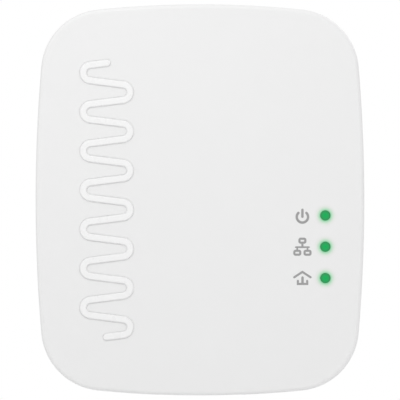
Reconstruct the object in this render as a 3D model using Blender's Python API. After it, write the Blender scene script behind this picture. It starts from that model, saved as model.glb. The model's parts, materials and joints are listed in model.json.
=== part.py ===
"""Powerline adapter: a two-pin wall-plug network unit with one network port, as separate parts.

Frame: +X to the right seen from the front, +Z up, the front faces -Y and the plug points +Y.
The origin is the centre of the plug boss's end face. Sizes in this file are in millimetres, and
finish() turns them into Blender's metres.
"""

import math

import bmesh
import bpy
from mathutils import Matrix

MM = 0.001

# Case outline: four bowed sides and four round corners.
CASE_WIDTH = 55.45
CASE_HEIGHT = 66.0
SIDE_BOW_RADIUS = 265.0
END_BOW_RADIUS = 171.0
CORNER_RADIUS = 10.6

# Case depth, measured along Y.
FRONT_Y = -46.0
PARTING_Y = -30.0
REAR_Y = -18.0
PLUG_FACE_Y = 0.0
WALL = 1.9
FLOOR_INSIDE_Y = -43.5
REAR_INSIDE_Y = -20.0
DOME = 1.0
DRAFT = math.tan(math.radians(0.8))
FRONT_EDGE_RADIUS = 0.6
REAR_EDGE_RADIUS = 2.5
RING_STEPS = (3, 8, 3)

# Joint between the two covers: a tongue in a rebate, with a shadow groove outside it.
TONGUE_INSET = 1.15
REBATE_INSET = 0.85
TONGUE_TIP_Y = -29.0
REBATE_Y = -28.7
REAR_RIM_Y = -29.85
GROOVE_DEPTH = 0.4
GROOVE_WIDTH = 0.5

# Plug: two round pins on a flat hexagonal boss.
BOSS_WIDTH = 35.3
BOSS_HEIGHT = 13.7
BOSS_CHAMFER = 4.6
BOSS_CORNER_RADIUS = 2.5
BOSS_WALL = 2.0
BOSS_END_WALL = 2.6
PIN_SPACING = 18.6
PIN_TIP_SPACING = 17.5
PIN_LENGTH = 19.0
PIN_RADIUS = 2.0
PIN_SHANK_RADIUS = 1.5
PIN_TAIL_RADIUS = 1.0
PIN_TAIL_Y = -24.9
SLEEVE_RADIUS = 1.9
SLEEVE_BORE = 1.65
SLEEVE_LENGTH = 9.85

# Rating label on the rear.
LABEL_HALF_WIDTH = 13.0
LABEL_Z = (11.0, 27.0)
LABEL_RECESS = 0.3

# Circuit boards, and the gap under a part soldered or clipped on one.
MAIN_BOARD_Y = (-39.8, -38.6)
MAIN_BOARD_INSET = 3.2
POWER_BOARD_Y = (-24.2, -22.6)
POWER_BOARD_HALF_WIDTH = 22.0
POWER_BOARD_Z = (-13.5, 28.5)
POWER_BOARD_SHOULDER_Z = 19.5
POWER_BOARD_NECK_HALF_WIDTH = 14.8
SEAT = 0.15

# Screws.
CASE_SCREW_AT = ((-18.5, 24.0), (18.5, 24.0), (-18.5, -24.0), (18.5, -24.0))
MAIN_SCREW_AT = ((-21.0, 10.0), (21.0, 10.0))
POWER_SCREW_AT = ((-19.6, 0.0), (19.5, 16.5))
CASE_POST_RADIUS = 2.7
CASE_POST_END_Y = -25.6
SCREW_TUBE_RADIUS = 3.2
SCREW_TUBE_END_Y = -25.2
COUNTERBORE_RADIUS = 2.2
COUNTERBORE_Y = -22.5
CASE_HOLE_RADIUS = 1.35
CASE_HOLE_END_Y = -36.0
CASE_SCREW_HEAD_Y = -20.5
CASE_SCREW_TIP_Y = -34.0
BOARD_POST_RADIUS = 2.2
BOARD_HOLE_RADIUS = 1.1
BOARD_SCREW_HEAD = 1.3
MAIN_SCREW_TIP_Y = -42.0
POWER_SCREW_TIP_Y = -20.9

# Indicator lights on the right of the front face.
LIGHT_X = 21.05
LIGHT_Z = (-2.6, -7.85, -13.12)
LIGHT_HOLE_RADIUS = 0.95
LIGHT_ROD_RADIUS = 0.84

# Raised wave on the left of the front face: round bends joined by straight runs.
WAVE_X = -15.66
WAVE_HALF_LENGTH = 23.0
WAVE_AMPLITUDE = 3.95
WAVE_BENDS = 14
WAVE_BEND_RADIUS = 1.3
WAVE_BEND_STEPS = 5
WAVE_STROKE = 1.2
WAVE_HEIGHT = 0.25

# Network port in the bottom wall.
JACK_HALF_WIDTH = 7.95
JACK_Y = (-38.45, -26.8)
JACK_Z = (-30.7, -15.6)
PORT_HALF_WIDTH = 6.9
PORT_Y = (-37.6, -27.2)
CAVITY_HALF_WIDTH = 5.95
CAVITY_Y = (-34.8, -27.8)
CAVITY_END_Z = -17.6
CONTACT_PITCH = 1.016
CONTACT_WIDTH = 0.4

# Pairing button and reset pinhole in the bottom wall.
BUTTON_X = 11.9
BUTTON_Y = -36.35
BUTTON_CAP = (5.6, 3.6)
BUTTON_FACE_Z = -32.25
BUTTON_FLANGE_Z = (-29.9, -29.1)
BUTTON_STEM_END_Z = -27.9
PLUNGER_END_Z = -24.6
PAIR_PLUNGER_TIP_Z = -27.6
RESET_PLUNGER_TIP_Z = -27.2
BUTTON_GAP = 0.2
RESET_X = -11.9
RESET_HOLE_RADIUS = 0.8
SWITCH_Z = (-26.4, -22.9)
SWITCH_BORE_END_Z = -23.7

# Ventilation slots in the rear cover.
VENT_Y = (-27.5, -21.5)
VENT_WIDTH = 1.2
VENT_PITCH = 2.6
SIDE_VENTS = 11
TOP_VENTS = 9

# Colour, roughness and metallic value of each material.
MATERIALS = {
    "white_case": ((0.84, 0.84, 0.84), 0.38, 0.0),
    "white_sleeve": ((0.80, 0.80, 0.79), 0.45, 0.0),
    "nickel_pin": ((0.72, 0.70, 0.66), 0.22, 1.0),
    "steel_screw": ((0.45, 0.45, 0.46), 0.35, 1.0),
    "label_film": ((0.70, 0.71, 0.72), 0.35, 0.0),
    "board_green": ((0.02, 0.16, 0.07), 0.45, 0.0),
    "chip_black": ((0.02, 0.02, 0.02), 0.55, 0.0),
    "pad_grey": ((0.35, 0.37, 0.42), 0.85, 0.0),
    "heat_aluminium": ((0.75, 0.76, 0.77), 0.35, 1.0),
    "jack_black": ((0.03, 0.03, 0.03), 0.5, 0.0),
    "contact_gold": ((0.85, 0.62, 0.25), 0.25, 1.0),
    "lamp_green": ((0.05, 0.55, 0.2), 0.3, 0.0),
    "clear_guide": ((0.55, 0.85, 0.65), 0.15, 0.0),
    "switch_steel": ((0.60, 0.60, 0.60), 0.35, 1.0),
    "plunger_black": ((0.03, 0.03, 0.03), 0.5, 0.0),
    "fuse_ceramic": ((0.75, 0.70, 0.58), 0.4, 0.0),
    "varistor_blue": ((0.03, 0.12, 0.35), 0.4, 0.0),
    "film_yellow": ((0.75, 0.55, 0.08), 0.4, 0.0),
    "sleeve_black": ((0.04, 0.04, 0.05), 0.3, 0.0),
    "ferrite_grey": ((0.10, 0.10, 0.11), 0.6, 0.0),
    "bobbin_black": ((0.03, 0.03, 0.03), 0.5, 0.0),
    "tape_yellow": ((0.80, 0.62, 0.10), 0.45, 0.0),
    "can_silver": ((0.65, 0.65, 0.67), 0.3, 1.0),
    "sheet_clear": ((0.80, 0.80, 0.76), 0.4, 0.0),
}


# ---------------------------------------------------------------- mesh tools


def clear_scene():
    for item in list(bpy.data.objects):
        bpy.data.objects.remove(item, do_unlink=True)


def material(name):
    found = bpy.data.materials.get(name)
    if found:
        return found
    colour, roughness, metallic = MATERIALS[name]
    made = bpy.data.materials.new(name)
    made.use_nodes = True
    shader = made.node_tree.nodes["Principled BSDF"]
    shader.inputs["Base Color"].default_value = (*colour, 1.0)
    shader.inputs["Roughness"].default_value = roughness
    shader.inputs["Metallic"].default_value = metallic
    return made


def finish(name, bm, slot, at=(0.0, 0.0, 0.0), smooth=True):
    """Make the object from a bmesh in millimetres about the point at."""
    bmesh.ops.recalc_face_normals(bm, faces=bm.faces)
    bmesh.ops.scale(bm, vec=(MM, MM, MM), verts=bm.verts)
    mesh = bpy.data.meshes.new(name)
    bm.to_mesh(mesh)
    bm.free()
    mesh.materials.append(material(slot))
    if smooth:
        mesh.shade_smooth()
        mesh.set_sharp_from_angle(angle=math.radians(35))
    made = bpy.data.objects.new(name, mesh)
    made.location = [value * MM for value in at]
    bpy.context.scene.collection.objects.link(made)
    return made


def helper(name, bm):
    """Make an operand for a Boolean, which isn't a part itself."""
    made = finish(name, bm, "white_case", smooth=False)
    made.hide_render = True
    made.display_type = "WIRE"
    return made


def boolean(target, operation, bm):
    """Combine the target with the closed shapes in a bmesh."""
    label = f"{target.name}_{operation.lower()}_{len(target.modifiers)}"
    modifier = target.modifiers.new(label, "BOOLEAN")
    modifier.operation = operation
    modifier.solver = "EXACT"
    modifier.object = helper(label, bm)


def bevel(target, width):
    modifier = target.modifiers.new("edges", "BEVEL")
    modifier.width = width * MM
    modifier.segments = 1
    modifier.limit_method = "ANGLE"
    modifier.angle_limit = math.radians(50)


def box(bm, x, y, z):
    """Add a box between the two values of each axis."""
    size = [high - low for low, high in (x, y, z)]
    middle = [(low + high) / 2 for low, high in (x, y, z)]
    bmesh.ops.create_cube(bm, size=1.0, matrix=Matrix.Translation(middle) @ Matrix.Diagonal((*size, 1.0)))


def loft(bm, rings):
    """Join rings of equal length with quads, and close both ends."""
    rows = [[bm.verts.new(point) for point in ring] for ring in rings]
    count = len(rows[0])
    for low, high in zip(rows, rows[1:]):
        for i in range(count):
            j = (i + 1) % count
            bm.faces.new((low[i], low[j], high[j], high[i]))
    bm.faces.new(rows[0][::-1])
    bm.faces.new(rows[-1])


def placed(point, level, along):
    """A point of an outline, (x, z), (x, y) or (y, z), at a level along Y, Z or X."""
    first, second = point
    return {"Y": (first, level, second), "Z": (first, second, level), "X": (level, first, second)}[along]


def prism(bm, outline, start, end, along="Y"):
    """Extrude an outline along an axis."""
    loft(bm, [[placed(point, level, along) for point in outline] for level in (start, end)])


def circle(centre, radius, sides=16, turn=0.0):
    angles = [turn + 2 * math.pi * i / sides for i in range(sides)]
    return [(centre[0] + radius * math.cos(a), centre[1] + radius * math.sin(a)) for a in angles]


def turned(bm, profile, centre=(0.0, 0.0), sides=16, along="Y"):
    """Turn a profile of (radius, level) points about an axis through centre."""
    loft(bm, [[placed(point, level, along) for point in circle(centre, radius, sides)] for radius, level in profile])


def rounded(corners, radius, steps=3):
    """Round the corners of a convex anticlockwise outline."""
    points = []
    for i, corner in enumerate(corners):
        before, after = corners[i - 1], corners[(i + 1) % len(corners)]
        into = math.atan2(corner[1] - before[1], corner[0] - before[0])
        out = math.atan2(after[1] - corner[1], after[0] - corner[0])
        turn = (out - into) % (2 * math.pi)
        reach = radius * math.tan(turn / 2)
        start = (corner[0] - reach * math.cos(into), corner[1] - reach * math.sin(into))
        middle = (start[0] - radius * math.sin(into), start[1] + radius * math.cos(into))
        for step in range(steps + 1):
            angle = into - math.pi / 2 + turn * step / steps
            points.append((middle[0] + radius * math.cos(angle), middle[1] + radius * math.sin(angle)))
    return points


def rectangle(half_width, half_height, centre=(0.0, 0.0)):
    x, z = centre
    return [
        (x - half_width, z - half_height),
        (x + half_width, z - half_height),
        (x + half_width, z + half_height),
        (x - half_width, z + half_height),
    ]


# ---------------------------------------------------------------- case surface


def corner_centre():
    """Centre of the upper right corner arc, which touches both bowed sides."""
    side = CASE_WIDTH / 2 - SIDE_BOW_RADIUS
    end = CASE_HEIGHT / 2 - END_BOW_RADIUS
    reach_side = SIDE_BOW_RADIUS - CORNER_RADIUS
    reach_end = END_BOW_RADIUS - CORNER_RADIUS
    span = math.hypot(side, end)
    along = (reach_side**2 - reach_end**2 + span**2) / (2 * span)
    across = math.sqrt(reach_side**2 - along**2)
    toward = (-side / span, end / span)
    return side + along * toward[0] - across * toward[1], along * toward[1] + across * toward[0]


def quarter_ring(inset):
    """Points (x, z) of the case outline from the right middle to the top middle, moved in by inset."""
    cx, cz = corner_centre()
    side = CASE_WIDTH / 2 - SIDE_BOW_RADIUS
    end = CASE_HEIGHT / 2 - END_BOW_RADIUS
    side_angle = math.atan2(cz, cx - side)
    end_angle = math.atan2(cz - end, cx)
    arcs = (
        ((side, 0.0), SIDE_BOW_RADIUS, 0.0, side_angle),
        ((cx, cz), CORNER_RADIUS, side_angle, end_angle),
        ((0.0, end), END_BOW_RADIUS, end_angle, math.pi / 2),
    )
    points = []
    for (centre, radius, start, stop), steps in zip(arcs, RING_STEPS):
        for step in range(steps):
            angle = start + (stop - start) * step / steps
            x = centre[0] + (radius - inset) * math.cos(angle)
            z = centre[1] + (radius - inset) * math.sin(angle)
            points.append((x, z))
    return points


def case_ring(inset):
    """The whole outline, anticlockwise seen from the front."""
    quarter = quarter_ring(inset)
    top = (0.0, CASE_HEIGHT / 2 - inset)
    upper_left = [top] + [(-x, z) for x, z in reversed(quarter[1:])]
    upper = quarter + upper_left
    return upper + [(-x, -z) for x, z in upper]


def dome_y(x, z):
    """The front face, which bows gently towards its edges."""
    return FRONT_Y + DOME * ((2 * x / CASE_WIDTH) ** 2 + (2 * z / CASE_HEIGHT) ** 2) / 1.4


def flat_ring(inset, y):
    return [(x, y, z) for x, z in case_ring(inset)]


def domed_ring(inset, below, share=1.0):
    """A ring that follows the front face at a depth below it, drawn in to a share of its size."""
    points = [(share * x, share * z) for x, z in case_ring(inset)]
    return [(x, dome_y(x, z) + below, z) for x, z in points]


def edge_steps(radius, count=4):
    """(inset, depth) pairs round a quarter of an edge, from the side wall to the face."""
    angles = [math.pi / 2 * step / count for step in range(count + 1)]
    return [(radius * (1 - math.cos(a)), radius * (1 - math.sin(a))) for a in angles]


# ---------------------------------------------------------------- front cover


def wave_path():
    """(point, unit direction) pairs in X and Z along the wave's centre line, from its lower end."""
    rise = 2 * WAVE_HALF_LENGTH / WAVE_BENDS
    reach = WAVE_AMPLITUDE - WAVE_BEND_RADIUS
    lean = math.asin(2 * WAVE_BEND_RADIUS / math.hypot(rise, 2 * reach))
    leftward = math.atan2(rise, -2 * reach) + lean
    path = [((WAVE_X, -WAVE_HALF_LENGTH), (-math.cos(leftward), math.sin(leftward)))]
    for bend in range(WAVE_BENDS):
        side = 1 if bend % 2 == 0 else -1
        x = WAVE_X + side * reach
        z = -WAVE_HALF_LENGTH + (bend + 0.5) * rise
        for step in range(WAVE_BEND_STEPS + 1):
            angle = math.pi - leftward + (2 * leftward - math.pi) * step / WAVE_BEND_STEPS
            around = (side * math.sin(angle), -math.cos(angle))
            point = (x + WAVE_BEND_RADIUS * around[0], z + WAVE_BEND_RADIUS * around[1])
            path.append((point, (side * math.cos(angle), math.sin(angle))))
    last = path[-1][1]
    return path + [((WAVE_X, WAVE_HALF_LENGTH), last)]


def round_end(point, way, sign):
    """Sections of a round end, from the full stroke outwards."""
    found = []
    for degrees in (28, 55, 80):
        angle = math.radians(degrees)
        on = sign * WAVE_STROKE / 2 * math.sin(angle)
        found.append(((point[0] + on * way[0], point[1] + on * way[1]), way, math.cos(angle)))
    return found


def wave_section(point, way, width):
    """Four points across the wave, wider where it is buried in the cover than at its top."""
    half = WAVE_STROKE / 2 * width
    points = []
    for across, rise in ((-1.1, -0.6), (-0.8, WAVE_HEIGHT), (0.8, WAVE_HEIGHT), (1.1, -0.6)):
        x = point[0] + across * half * way[1]
        z = point[1] - across * half * way[0]
        points.append((x, dome_y(x, z) - rise, z))
    return points


def wave_mesh():
    """The raised wave with round ends."""
    path = wave_path()
    stations = [(point, way, 1.0) for point, way in path]
    stations = round_end(*path[0], -1)[::-1] + stations + round_end(*path[-1], 1)
    bm = bmesh.new()
    loft(bm, [wave_section(*station) for station in stations])
    return bm


def front_rings():
    """Rings from the inner floor, over the tongue and the groove, to the outer face."""
    draft = DRAFT * (PARTING_Y - FRONT_Y - FRONT_EDGE_RADIUS)
    rings = [
        flat_ring(WALL + 1.5, FLOOR_INSIDE_Y),
        flat_ring(WALL + 0.3, FLOOR_INSIDE_Y + 0.6),
        flat_ring(WALL, TONGUE_TIP_Y),
        flat_ring(TONGUE_INSET, TONGUE_TIP_Y),
        flat_ring(TONGUE_INSET, PARTING_Y),
        flat_ring(GROOVE_DEPTH, PARTING_Y),
        flat_ring(GROOVE_DEPTH, PARTING_Y - GROOVE_WIDTH),
        flat_ring(0.0, PARTING_Y - GROOVE_WIDTH),
    ]
    rings += [domed_ring(draft + inset, depth) for inset, depth in edge_steps(FRONT_EDGE_RADIUS)]
    rings += [domed_ring(6.0, 0.0)]
    rings += [domed_ring(6.0, 0.0, share) for share in (0.7, 0.4, 0.12)]
    return rings


def front_posts():
    bm = bmesh.new()
    root = FLOOR_INSIDE_Y - 0.5
    for place in CASE_SCREW_AT:
        prism(bm, circle(place, CASE_POST_RADIUS), root, CASE_POST_END_Y)
    for place in MAIN_SCREW_AT:
        prism(bm, circle(place, BOARD_POST_RADIUS), root, MAIN_BOARD_Y[0] - 0.3)
    return bm


def port_cutter(bm):
    z = (-CASE_HEIGHT / 2 - 1, JACK_Z[0] + 0.5)
    corners = rectangle(PORT_HALF_WIDTH, (PORT_Y[1] - PORT_Y[0]) / 2, (0.0, sum(PORT_Y) / 2))
    prism(bm, rounded(corners, 0.6, 2), *z, along="Z")


def front_cutters():
    bm = bmesh.new()
    for place in CASE_SCREW_AT:
        prism(bm, circle(place, CASE_HOLE_RADIUS, 12), CASE_HOLE_END_Y, CASE_POST_END_Y + 1)
    for place in MAIN_SCREW_AT:
        prism(bm, circle(place, BOARD_HOLE_RADIUS, 10), FLOOR_INSIDE_Y + 0.7, MAIN_BOARD_Y[0])
    for z in LIGHT_Z:
        prism(bm, circle((LIGHT_X, z), LIGHT_HOLE_RADIUS), FRONT_Y - 1, FLOOR_INSIDE_Y + 1)
    port_cutter(bm)
    outline = rounded(
        rectangle(BUTTON_CAP[0] / 2 + BUTTON_GAP, BUTTON_CAP[1] / 2 + BUTTON_GAP, (BUTTON_X, BUTTON_Y)), 1.5
    )
    prism(bm, outline, -CASE_HEIGHT / 2 - 1, -29.5, along="Z")
    prism(bm, circle((RESET_X, BUTTON_Y), RESET_HOLE_RADIUS, 12), -CASE_HEIGHT / 2 - 1, -29.5, along="Z")
    return bm


def make_front_cover():
    bm = bmesh.new()
    loft(bm, front_rings())
    cover = finish("front_cover", bm, "white_case")
    boolean(cover, "UNION", front_posts())
    boolean(cover, "UNION", wave_mesh())
    boolean(cover, "DIFFERENCE", front_cutters())


# ---------------------------------------------------------------- rear cover and plug


def boss_outline(inset):
    """The boss moved in by inset: an octagon (x, z) with 45 degree chamfers and round corners."""
    half_width = BOSS_WIDTH / 2 - inset
    half_height = BOSS_HEIGHT / 2 - inset
    cut = BOSS_CHAMFER - (2 - math.sqrt(2)) * inset
    radius = max(BOSS_CORNER_RADIUS - inset, 0.6)
    corners = [
        (half_width - cut, -half_height),
        (half_width, -half_height + cut),
        (half_width, half_height - cut),
        (half_width - cut, half_height),
        (-half_width + cut, half_height),
        (-half_width, half_height - cut),
        (-half_width, -half_height + cut),
        (-half_width + cut, -half_height),
    ]
    return rounded(corners, radius)


def boss_ring(inset, y):
    return [(x, y, z) for x, z in boss_outline(inset)]


def rear_rings():
    """Rings from the inner floor, over the rim, to the outer rear face."""
    draft = DRAFT * (REAR_Y - PARTING_Y - REAR_EDGE_RADIUS)
    rings = [
        flat_ring(WALL + 1.5, REAR_INSIDE_Y),
        flat_ring(WALL + 0.3, REAR_INSIDE_Y - 0.6),
        flat_ring(WALL, REBATE_Y),
        flat_ring(REBATE_INSET, REBATE_Y),
        flat_ring(REBATE_INSET, REAR_RIM_Y),
        flat_ring(0.0, REAR_RIM_Y),
    ]
    edge = edge_steps(REAR_EDGE_RADIUS)
    return rings + [flat_ring(draft + inset, REAR_Y - depth) for inset, depth in edge]


def rear_posts():
    bm = bmesh.new()
    root = REAR_INSIDE_Y + 0.7
    for place in CASE_SCREW_AT:
        prism(bm, circle(place, SCREW_TUBE_RADIUS), root, SCREW_TUBE_END_Y)
    for place in POWER_SCREW_AT:
        prism(bm, circle(place, BOARD_POST_RADIUS), root, POWER_BOARD_Y[1] + 0.3)
    boss = [boss_ring(0.0, REAR_Y - 1.0), boss_ring(0.2, PLUG_FACE_Y - 0.6), boss_ring(0.7, PLUG_FACE_Y)]
    loft(bm, boss)
    return bm


def screw_cutters(bm):
    for place in CASE_SCREW_AT:
        prism(bm, circle(place, COUNTERBORE_RADIUS), COUNTERBORE_Y, REAR_Y + 1)
    for place in POWER_SCREW_AT:
        prism(bm, circle(place, BOARD_HOLE_RADIUS, 10), POWER_BOARD_Y[1], REAR_INSIDE_Y - 0.4)


def vent_cutters(bm):
    side_x = CASE_WIDTH / 2
    for index in range(SIDE_VENTS):
        z = (index - (SIDE_VENTS - 1) / 2) * VENT_PITCH
        span = (z - VENT_WIDTH / 2, z + VENT_WIDTH / 2)
        box(bm, (side_x - 4, side_x + 1), VENT_Y, span)
        box(bm, (-side_x - 1, -side_x + 4), VENT_Y, span)
    top_z = CASE_HEIGHT / 2
    for index in range(TOP_VENTS):
        x = (index - (TOP_VENTS - 1) / 2) * VENT_PITCH
        box(bm, (x - VENT_WIDTH / 2, x + VENT_WIDTH / 2), VENT_Y, (top_z - 4, top_z + 1))


def boss_cavity():
    bm = bmesh.new()
    start = REAR_INSIDE_Y - 1
    loft(bm, [boss_ring(BOSS_WALL, start), boss_ring(BOSS_WALL + 0.1, -BOSS_END_WALL)])
    return bm


def through_cutters():
    """Holes that open into another cut, so they form a second set."""
    bm = bmesh.new()
    for place in CASE_SCREW_AT:
        prism(bm, circle(place, CASE_HOLE_RADIUS, 12), SCREW_TUBE_END_Y - 1, COUNTERBORE_Y + 0.5)
    for side in (-1, 1):
        prism(bm, circle((side * PIN_SPACING / 2, 0.0), SLEEVE_RADIUS + 0.25), -BOSS_END_WALL - 0.5, 1.0)
    return bm


def rear_cutters():
    bm = bmesh.new()
    screw_cutters(bm)
    vent_cutters(bm)
    port_cutter(bm)
    box(bm, *label_box(0.3, (REAR_Y - LABEL_RECESS, REAR_Y + 1)))
    return bm


def label_box(margin, y):
    low, high = LABEL_Z
    return (-LABEL_HALF_WIDTH - margin, LABEL_HALF_WIDTH + margin), y, (low - margin, high + margin)


def make_rear_cover():
    bm = bmesh.new()
    loft(bm, rear_rings())
    cover = finish("rear_cover", bm, "white_case")
    boolean(cover, "UNION", rear_posts())
    boolean(cover, "DIFFERENCE", boss_cavity())
    boolean(cover, "DIFFERENCE", rear_cutters())
    boolean(cover, "DIFFERENCE", through_cutters())


def make_label():
    bm = bmesh.new()
    box(bm, *label_box(0.0, (REAR_Y - 0.2, REAR_Y - 0.05)))
    finish("rating_label", bm, "label_film")


def pin_profile():
    flange = (-4.3, -2.9)
    return [
        (PIN_TAIL_RADIUS, PIN_TAIL_Y),
        (PIN_TAIL_RADIUS, flange[0]),
        (2.9, flange[0]),
        (2.9, flange[1]),
        (PIN_SHANK_RADIUS, flange[1]),
        (PIN_SHANK_RADIUS, SLEEVE_LENGTH + 0.15),
        (PIN_RADIUS, SLEEVE_LENGTH + 0.15),
        (PIN_RADIUS, PIN_LENGTH - 1.4),
        (PIN_RADIUS * 0.87, PIN_LENGTH - 0.6),
        (PIN_RADIUS * 0.5, PIN_LENGTH - 0.12),
        (PIN_RADIUS * 0.15, PIN_LENGTH),
    ]


def sleeve_mesh():
    """A tube, open at both ends."""
    start = -BOSS_END_WALL - 0.1
    profile = (
        (SLEEVE_RADIUS, start),
        (SLEEVE_RADIUS, SLEEVE_LENGTH),
        (SLEEVE_BORE, SLEEVE_LENGTH),
        (SLEEVE_BORE, start),
    )
    bm = bmesh.new()
    rows = []
    for radius, level in profile:
        rows.append([bm.verts.new((x, level, z)) for x, z in circle((0.0, 0.0), radius)])
    for low, high in zip(rows, rows[1:] + rows[:1]):
        for i in range(len(low)):
            j = (i + 1) % len(low)
            bm.faces.new((low[i], low[j], high[j], high[i]))
    return bm


def make_pins():
    """The pins lean towards each other, from their spacing at the boss to the one at their tips."""
    lean = math.atan2((PIN_SPACING - PIN_TIP_SPACING) / 2, PIN_LENGTH)
    for name, side in (("live", -1), ("neutral", 1)):
        place = (side * PIN_SPACING / 2, 0.0, 0.0)
        bm = bmesh.new()
        turned(bm, pin_profile())
        pin = finish(f"pin_{name}", bm, "nickel_pin", at=place)
        sleeve = finish(f"pin_sleeve_{name}", sleeve_mesh(), "white_sleeve", at=place)
        pin.rotation_euler.z = side * lean
        sleeve.rotation_euler.z = side * lean


def make_pin_retainer():
    bm = bmesh.new()
    y = (-6.4, -4.6)
    prism(bm, boss_outline(BOSS_WALL + 0.4), *y)
    plate = finish("pin_retainer", bm, "white_case")
    holes = bmesh.new()
    for side in (-1, 1):
        prism(holes, circle((side * (PIN_SPACING / 2 + 0.15), 0.0), 1.6), y[0] - 1, y[1] + 1)
    boolean(plate, "DIFFERENCE", holes)


# ---------------------------------------------------------------- screws


def make_screw(name, place, head, tip_y, head_radius, shank_radius):
    """A screw along Y: head is (outer face, seat), and the shank runs from the seat to tip_y."""
    outer, seat = head
    inward = math.copysign(1.0, tip_y - seat)
    bm = bmesh.new()
    profile = [
        (head_radius * 0.85, outer),
        (head_radius, outer + inward * 0.3),
        (head_radius, seat),
        (shank_radius, seat),
        (shank_radius, tip_y - inward * 0.8),
        (shank_radius * 0.3, tip_y),
    ]
    turned(bm, profile, place, 12)
    screw = finish(name, bm, "steel_screw")
    recess = bmesh.new()
    prism(recess, circle(place, head_radius * 0.5, 3, math.pi / 2), outer - inward, outer + inward * 0.8)
    boolean(screw, "DIFFERENCE", recess)


def make_screws():
    case_head = (CASE_SCREW_HEAD_Y, COUNTERBORE_Y + 0.2)
    for number, place in enumerate(CASE_SCREW_AT, 1):
        make_screw(f"case_screw_{number}", place, case_head, CASE_SCREW_TIP_Y, 1.9, 1.0)
    rear = MAIN_BOARD_Y[1] + SEAT
    for number, place in enumerate(MAIN_SCREW_AT, 1):
        make_screw(f"board_screw_{number}", place, (rear + BOARD_SCREW_HEAD, rear), MAIN_SCREW_TIP_Y, 1.8, 0.8)
    front = POWER_BOARD_Y[0] - SEAT
    head = (front - BOARD_SCREW_HEAD, front)
    for number, place in enumerate(POWER_SCREW_AT, 1):
        make_screw(f"power_board_screw_{number}", place, head, POWER_SCREW_TIP_Y, 1.8, 0.8)


# ---------------------------------------------------------------- boards


def make_main_board():
    bm = bmesh.new()
    prism(bm, case_ring(MAIN_BOARD_INSET), *MAIN_BOARD_Y)
    board = finish("main_board", bm, "board_green")
    holes = bmesh.new()
    y = (MAIN_BOARD_Y[0] - 1, MAIN_BOARD_Y[1] + 1)
    for place in CASE_SCREW_AT:
        prism(holes, circle(place, CASE_POST_RADIUS + 0.4), *y)
    for place in MAIN_SCREW_AT:
        prism(holes, circle(place, BOARD_HOLE_RADIUS, 10), *y)
    boolean(board, "DIFFERENCE", holes)


def make_power_board():
    low, high = POWER_BOARD_Z
    wide, neck, shoulder = POWER_BOARD_HALF_WIDTH, POWER_BOARD_NECK_HALF_WIDTH, POWER_BOARD_SHOULDER_Z
    outline = [
        (-wide, low),
        (wide, low),
        (wide, shoulder),
        (neck, shoulder),
        (neck, high),
        (-neck, high),
        (-neck, shoulder),
        (-wide, shoulder),
    ]
    bm = bmesh.new()
    prism(bm, outline, *POWER_BOARD_Y)
    board = finish("power_board", bm, "board_green")
    holes = bmesh.new()
    y = (POWER_BOARD_Y[0] - 1, POWER_BOARD_Y[1] + 1)
    for place in POWER_SCREW_AT:
        prism(holes, circle(place, BOARD_HOLE_RADIUS, 10), *y)
    tail_x = PIN_SPACING / 2 + 0.7
    for side in (-1, 1):
        prism(holes, circle((side * tail_x, 0.0), PIN_TAIL_RADIUS + 0.35, 12), *y)
    boolean(board, "DIFFERENCE", holes)


def make_insulation_sheet():
    y = (-35.9, -35.6)
    outline = [
        (-20.5, -12.5),
        (18.6, -12.5),
        (18.6, 19.5),
        (14.5, 19.5),
        (14.5, 27.0),
        (-14.5, 27.0),
        (-14.5, 19.5),
        (-20.5, 19.5),
    ]
    bm = bmesh.new()
    prism(bm, outline, *y)
    finish("insulation_sheet", bm, "sheet_clear")


# ---------------------------------------------------------------- parts on the boards


def on_front_of(board, height):
    top = board[0] - SEAT
    return top - height, top


def on_main_rear(height):
    low = MAIN_BOARD_Y[1] + SEAT
    return low, low + height


def make_block(name, centre, size, y, slot, edge=0.15):
    """A box-shaped part with broken edges, given its centre and size in X and Z."""
    x, z = centre
    width, height = size
    bm = bmesh.new()
    box(bm, (x - width / 2, x + width / 2), y, (z - height / 2, z + height / 2))
    block = finish(name, bm, slot)
    if edge:
        bevel(block, edge)
    return block


def make_main_board_parts():
    main = MAIN_BOARD_Y
    make_block("plc_chip", (0.0, 6.0), (12.0, 12.0), on_front_of(main, 0.9), "chip_black")
    make_block("memory_chip", (-17.0, -2.0), (8.0, 12.5), on_front_of(main, 1.0), "chip_black")
    make_block("flash_chip", (-16.0, 15.5), (5.2, 4.0), on_front_of(main, 1.6), "chip_black")
    make_block("crystal", (15.5, 15.0), (5.0, 3.2), on_front_of(main, 1.0), "can_silver")
    make_block("lan_transformer", (0.0, -9.5), (12.7, 7.5), on_main_rear(2.3), "chip_black")
    lamps = ("led_power", "led_network", "led_powerline")
    for name, z in zip(lamps, LIGHT_Z):
        make_block(name, (LIGHT_X, z), (1.3, 2.0), on_front_of(main, 0.8), "lamp_green", 0.1)


def make_heat_spreader():
    pad_y = (-41.45, -40.95)
    plate_y = (-42.3, -41.55)
    fin_top = -43.1
    make_block("thermal_pad", (0.0, 6.0), (12.0, 12.0), pad_y, "pad_grey", 0.0)
    plate = make_block("heat_spreader", (0.0, 6.0), (24.0, 24.0), plate_y, "heat_aluminium", 0.0)
    fins = bmesh.new()
    for index in range(6):
        x = (index - 2.5) * 4.4
        box(fins, (x - 0.6, x + 0.6), (fin_top, plate_y[0] + 0.3), (-5.6, 17.6))
    boolean(plate, "UNION", fins)


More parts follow.
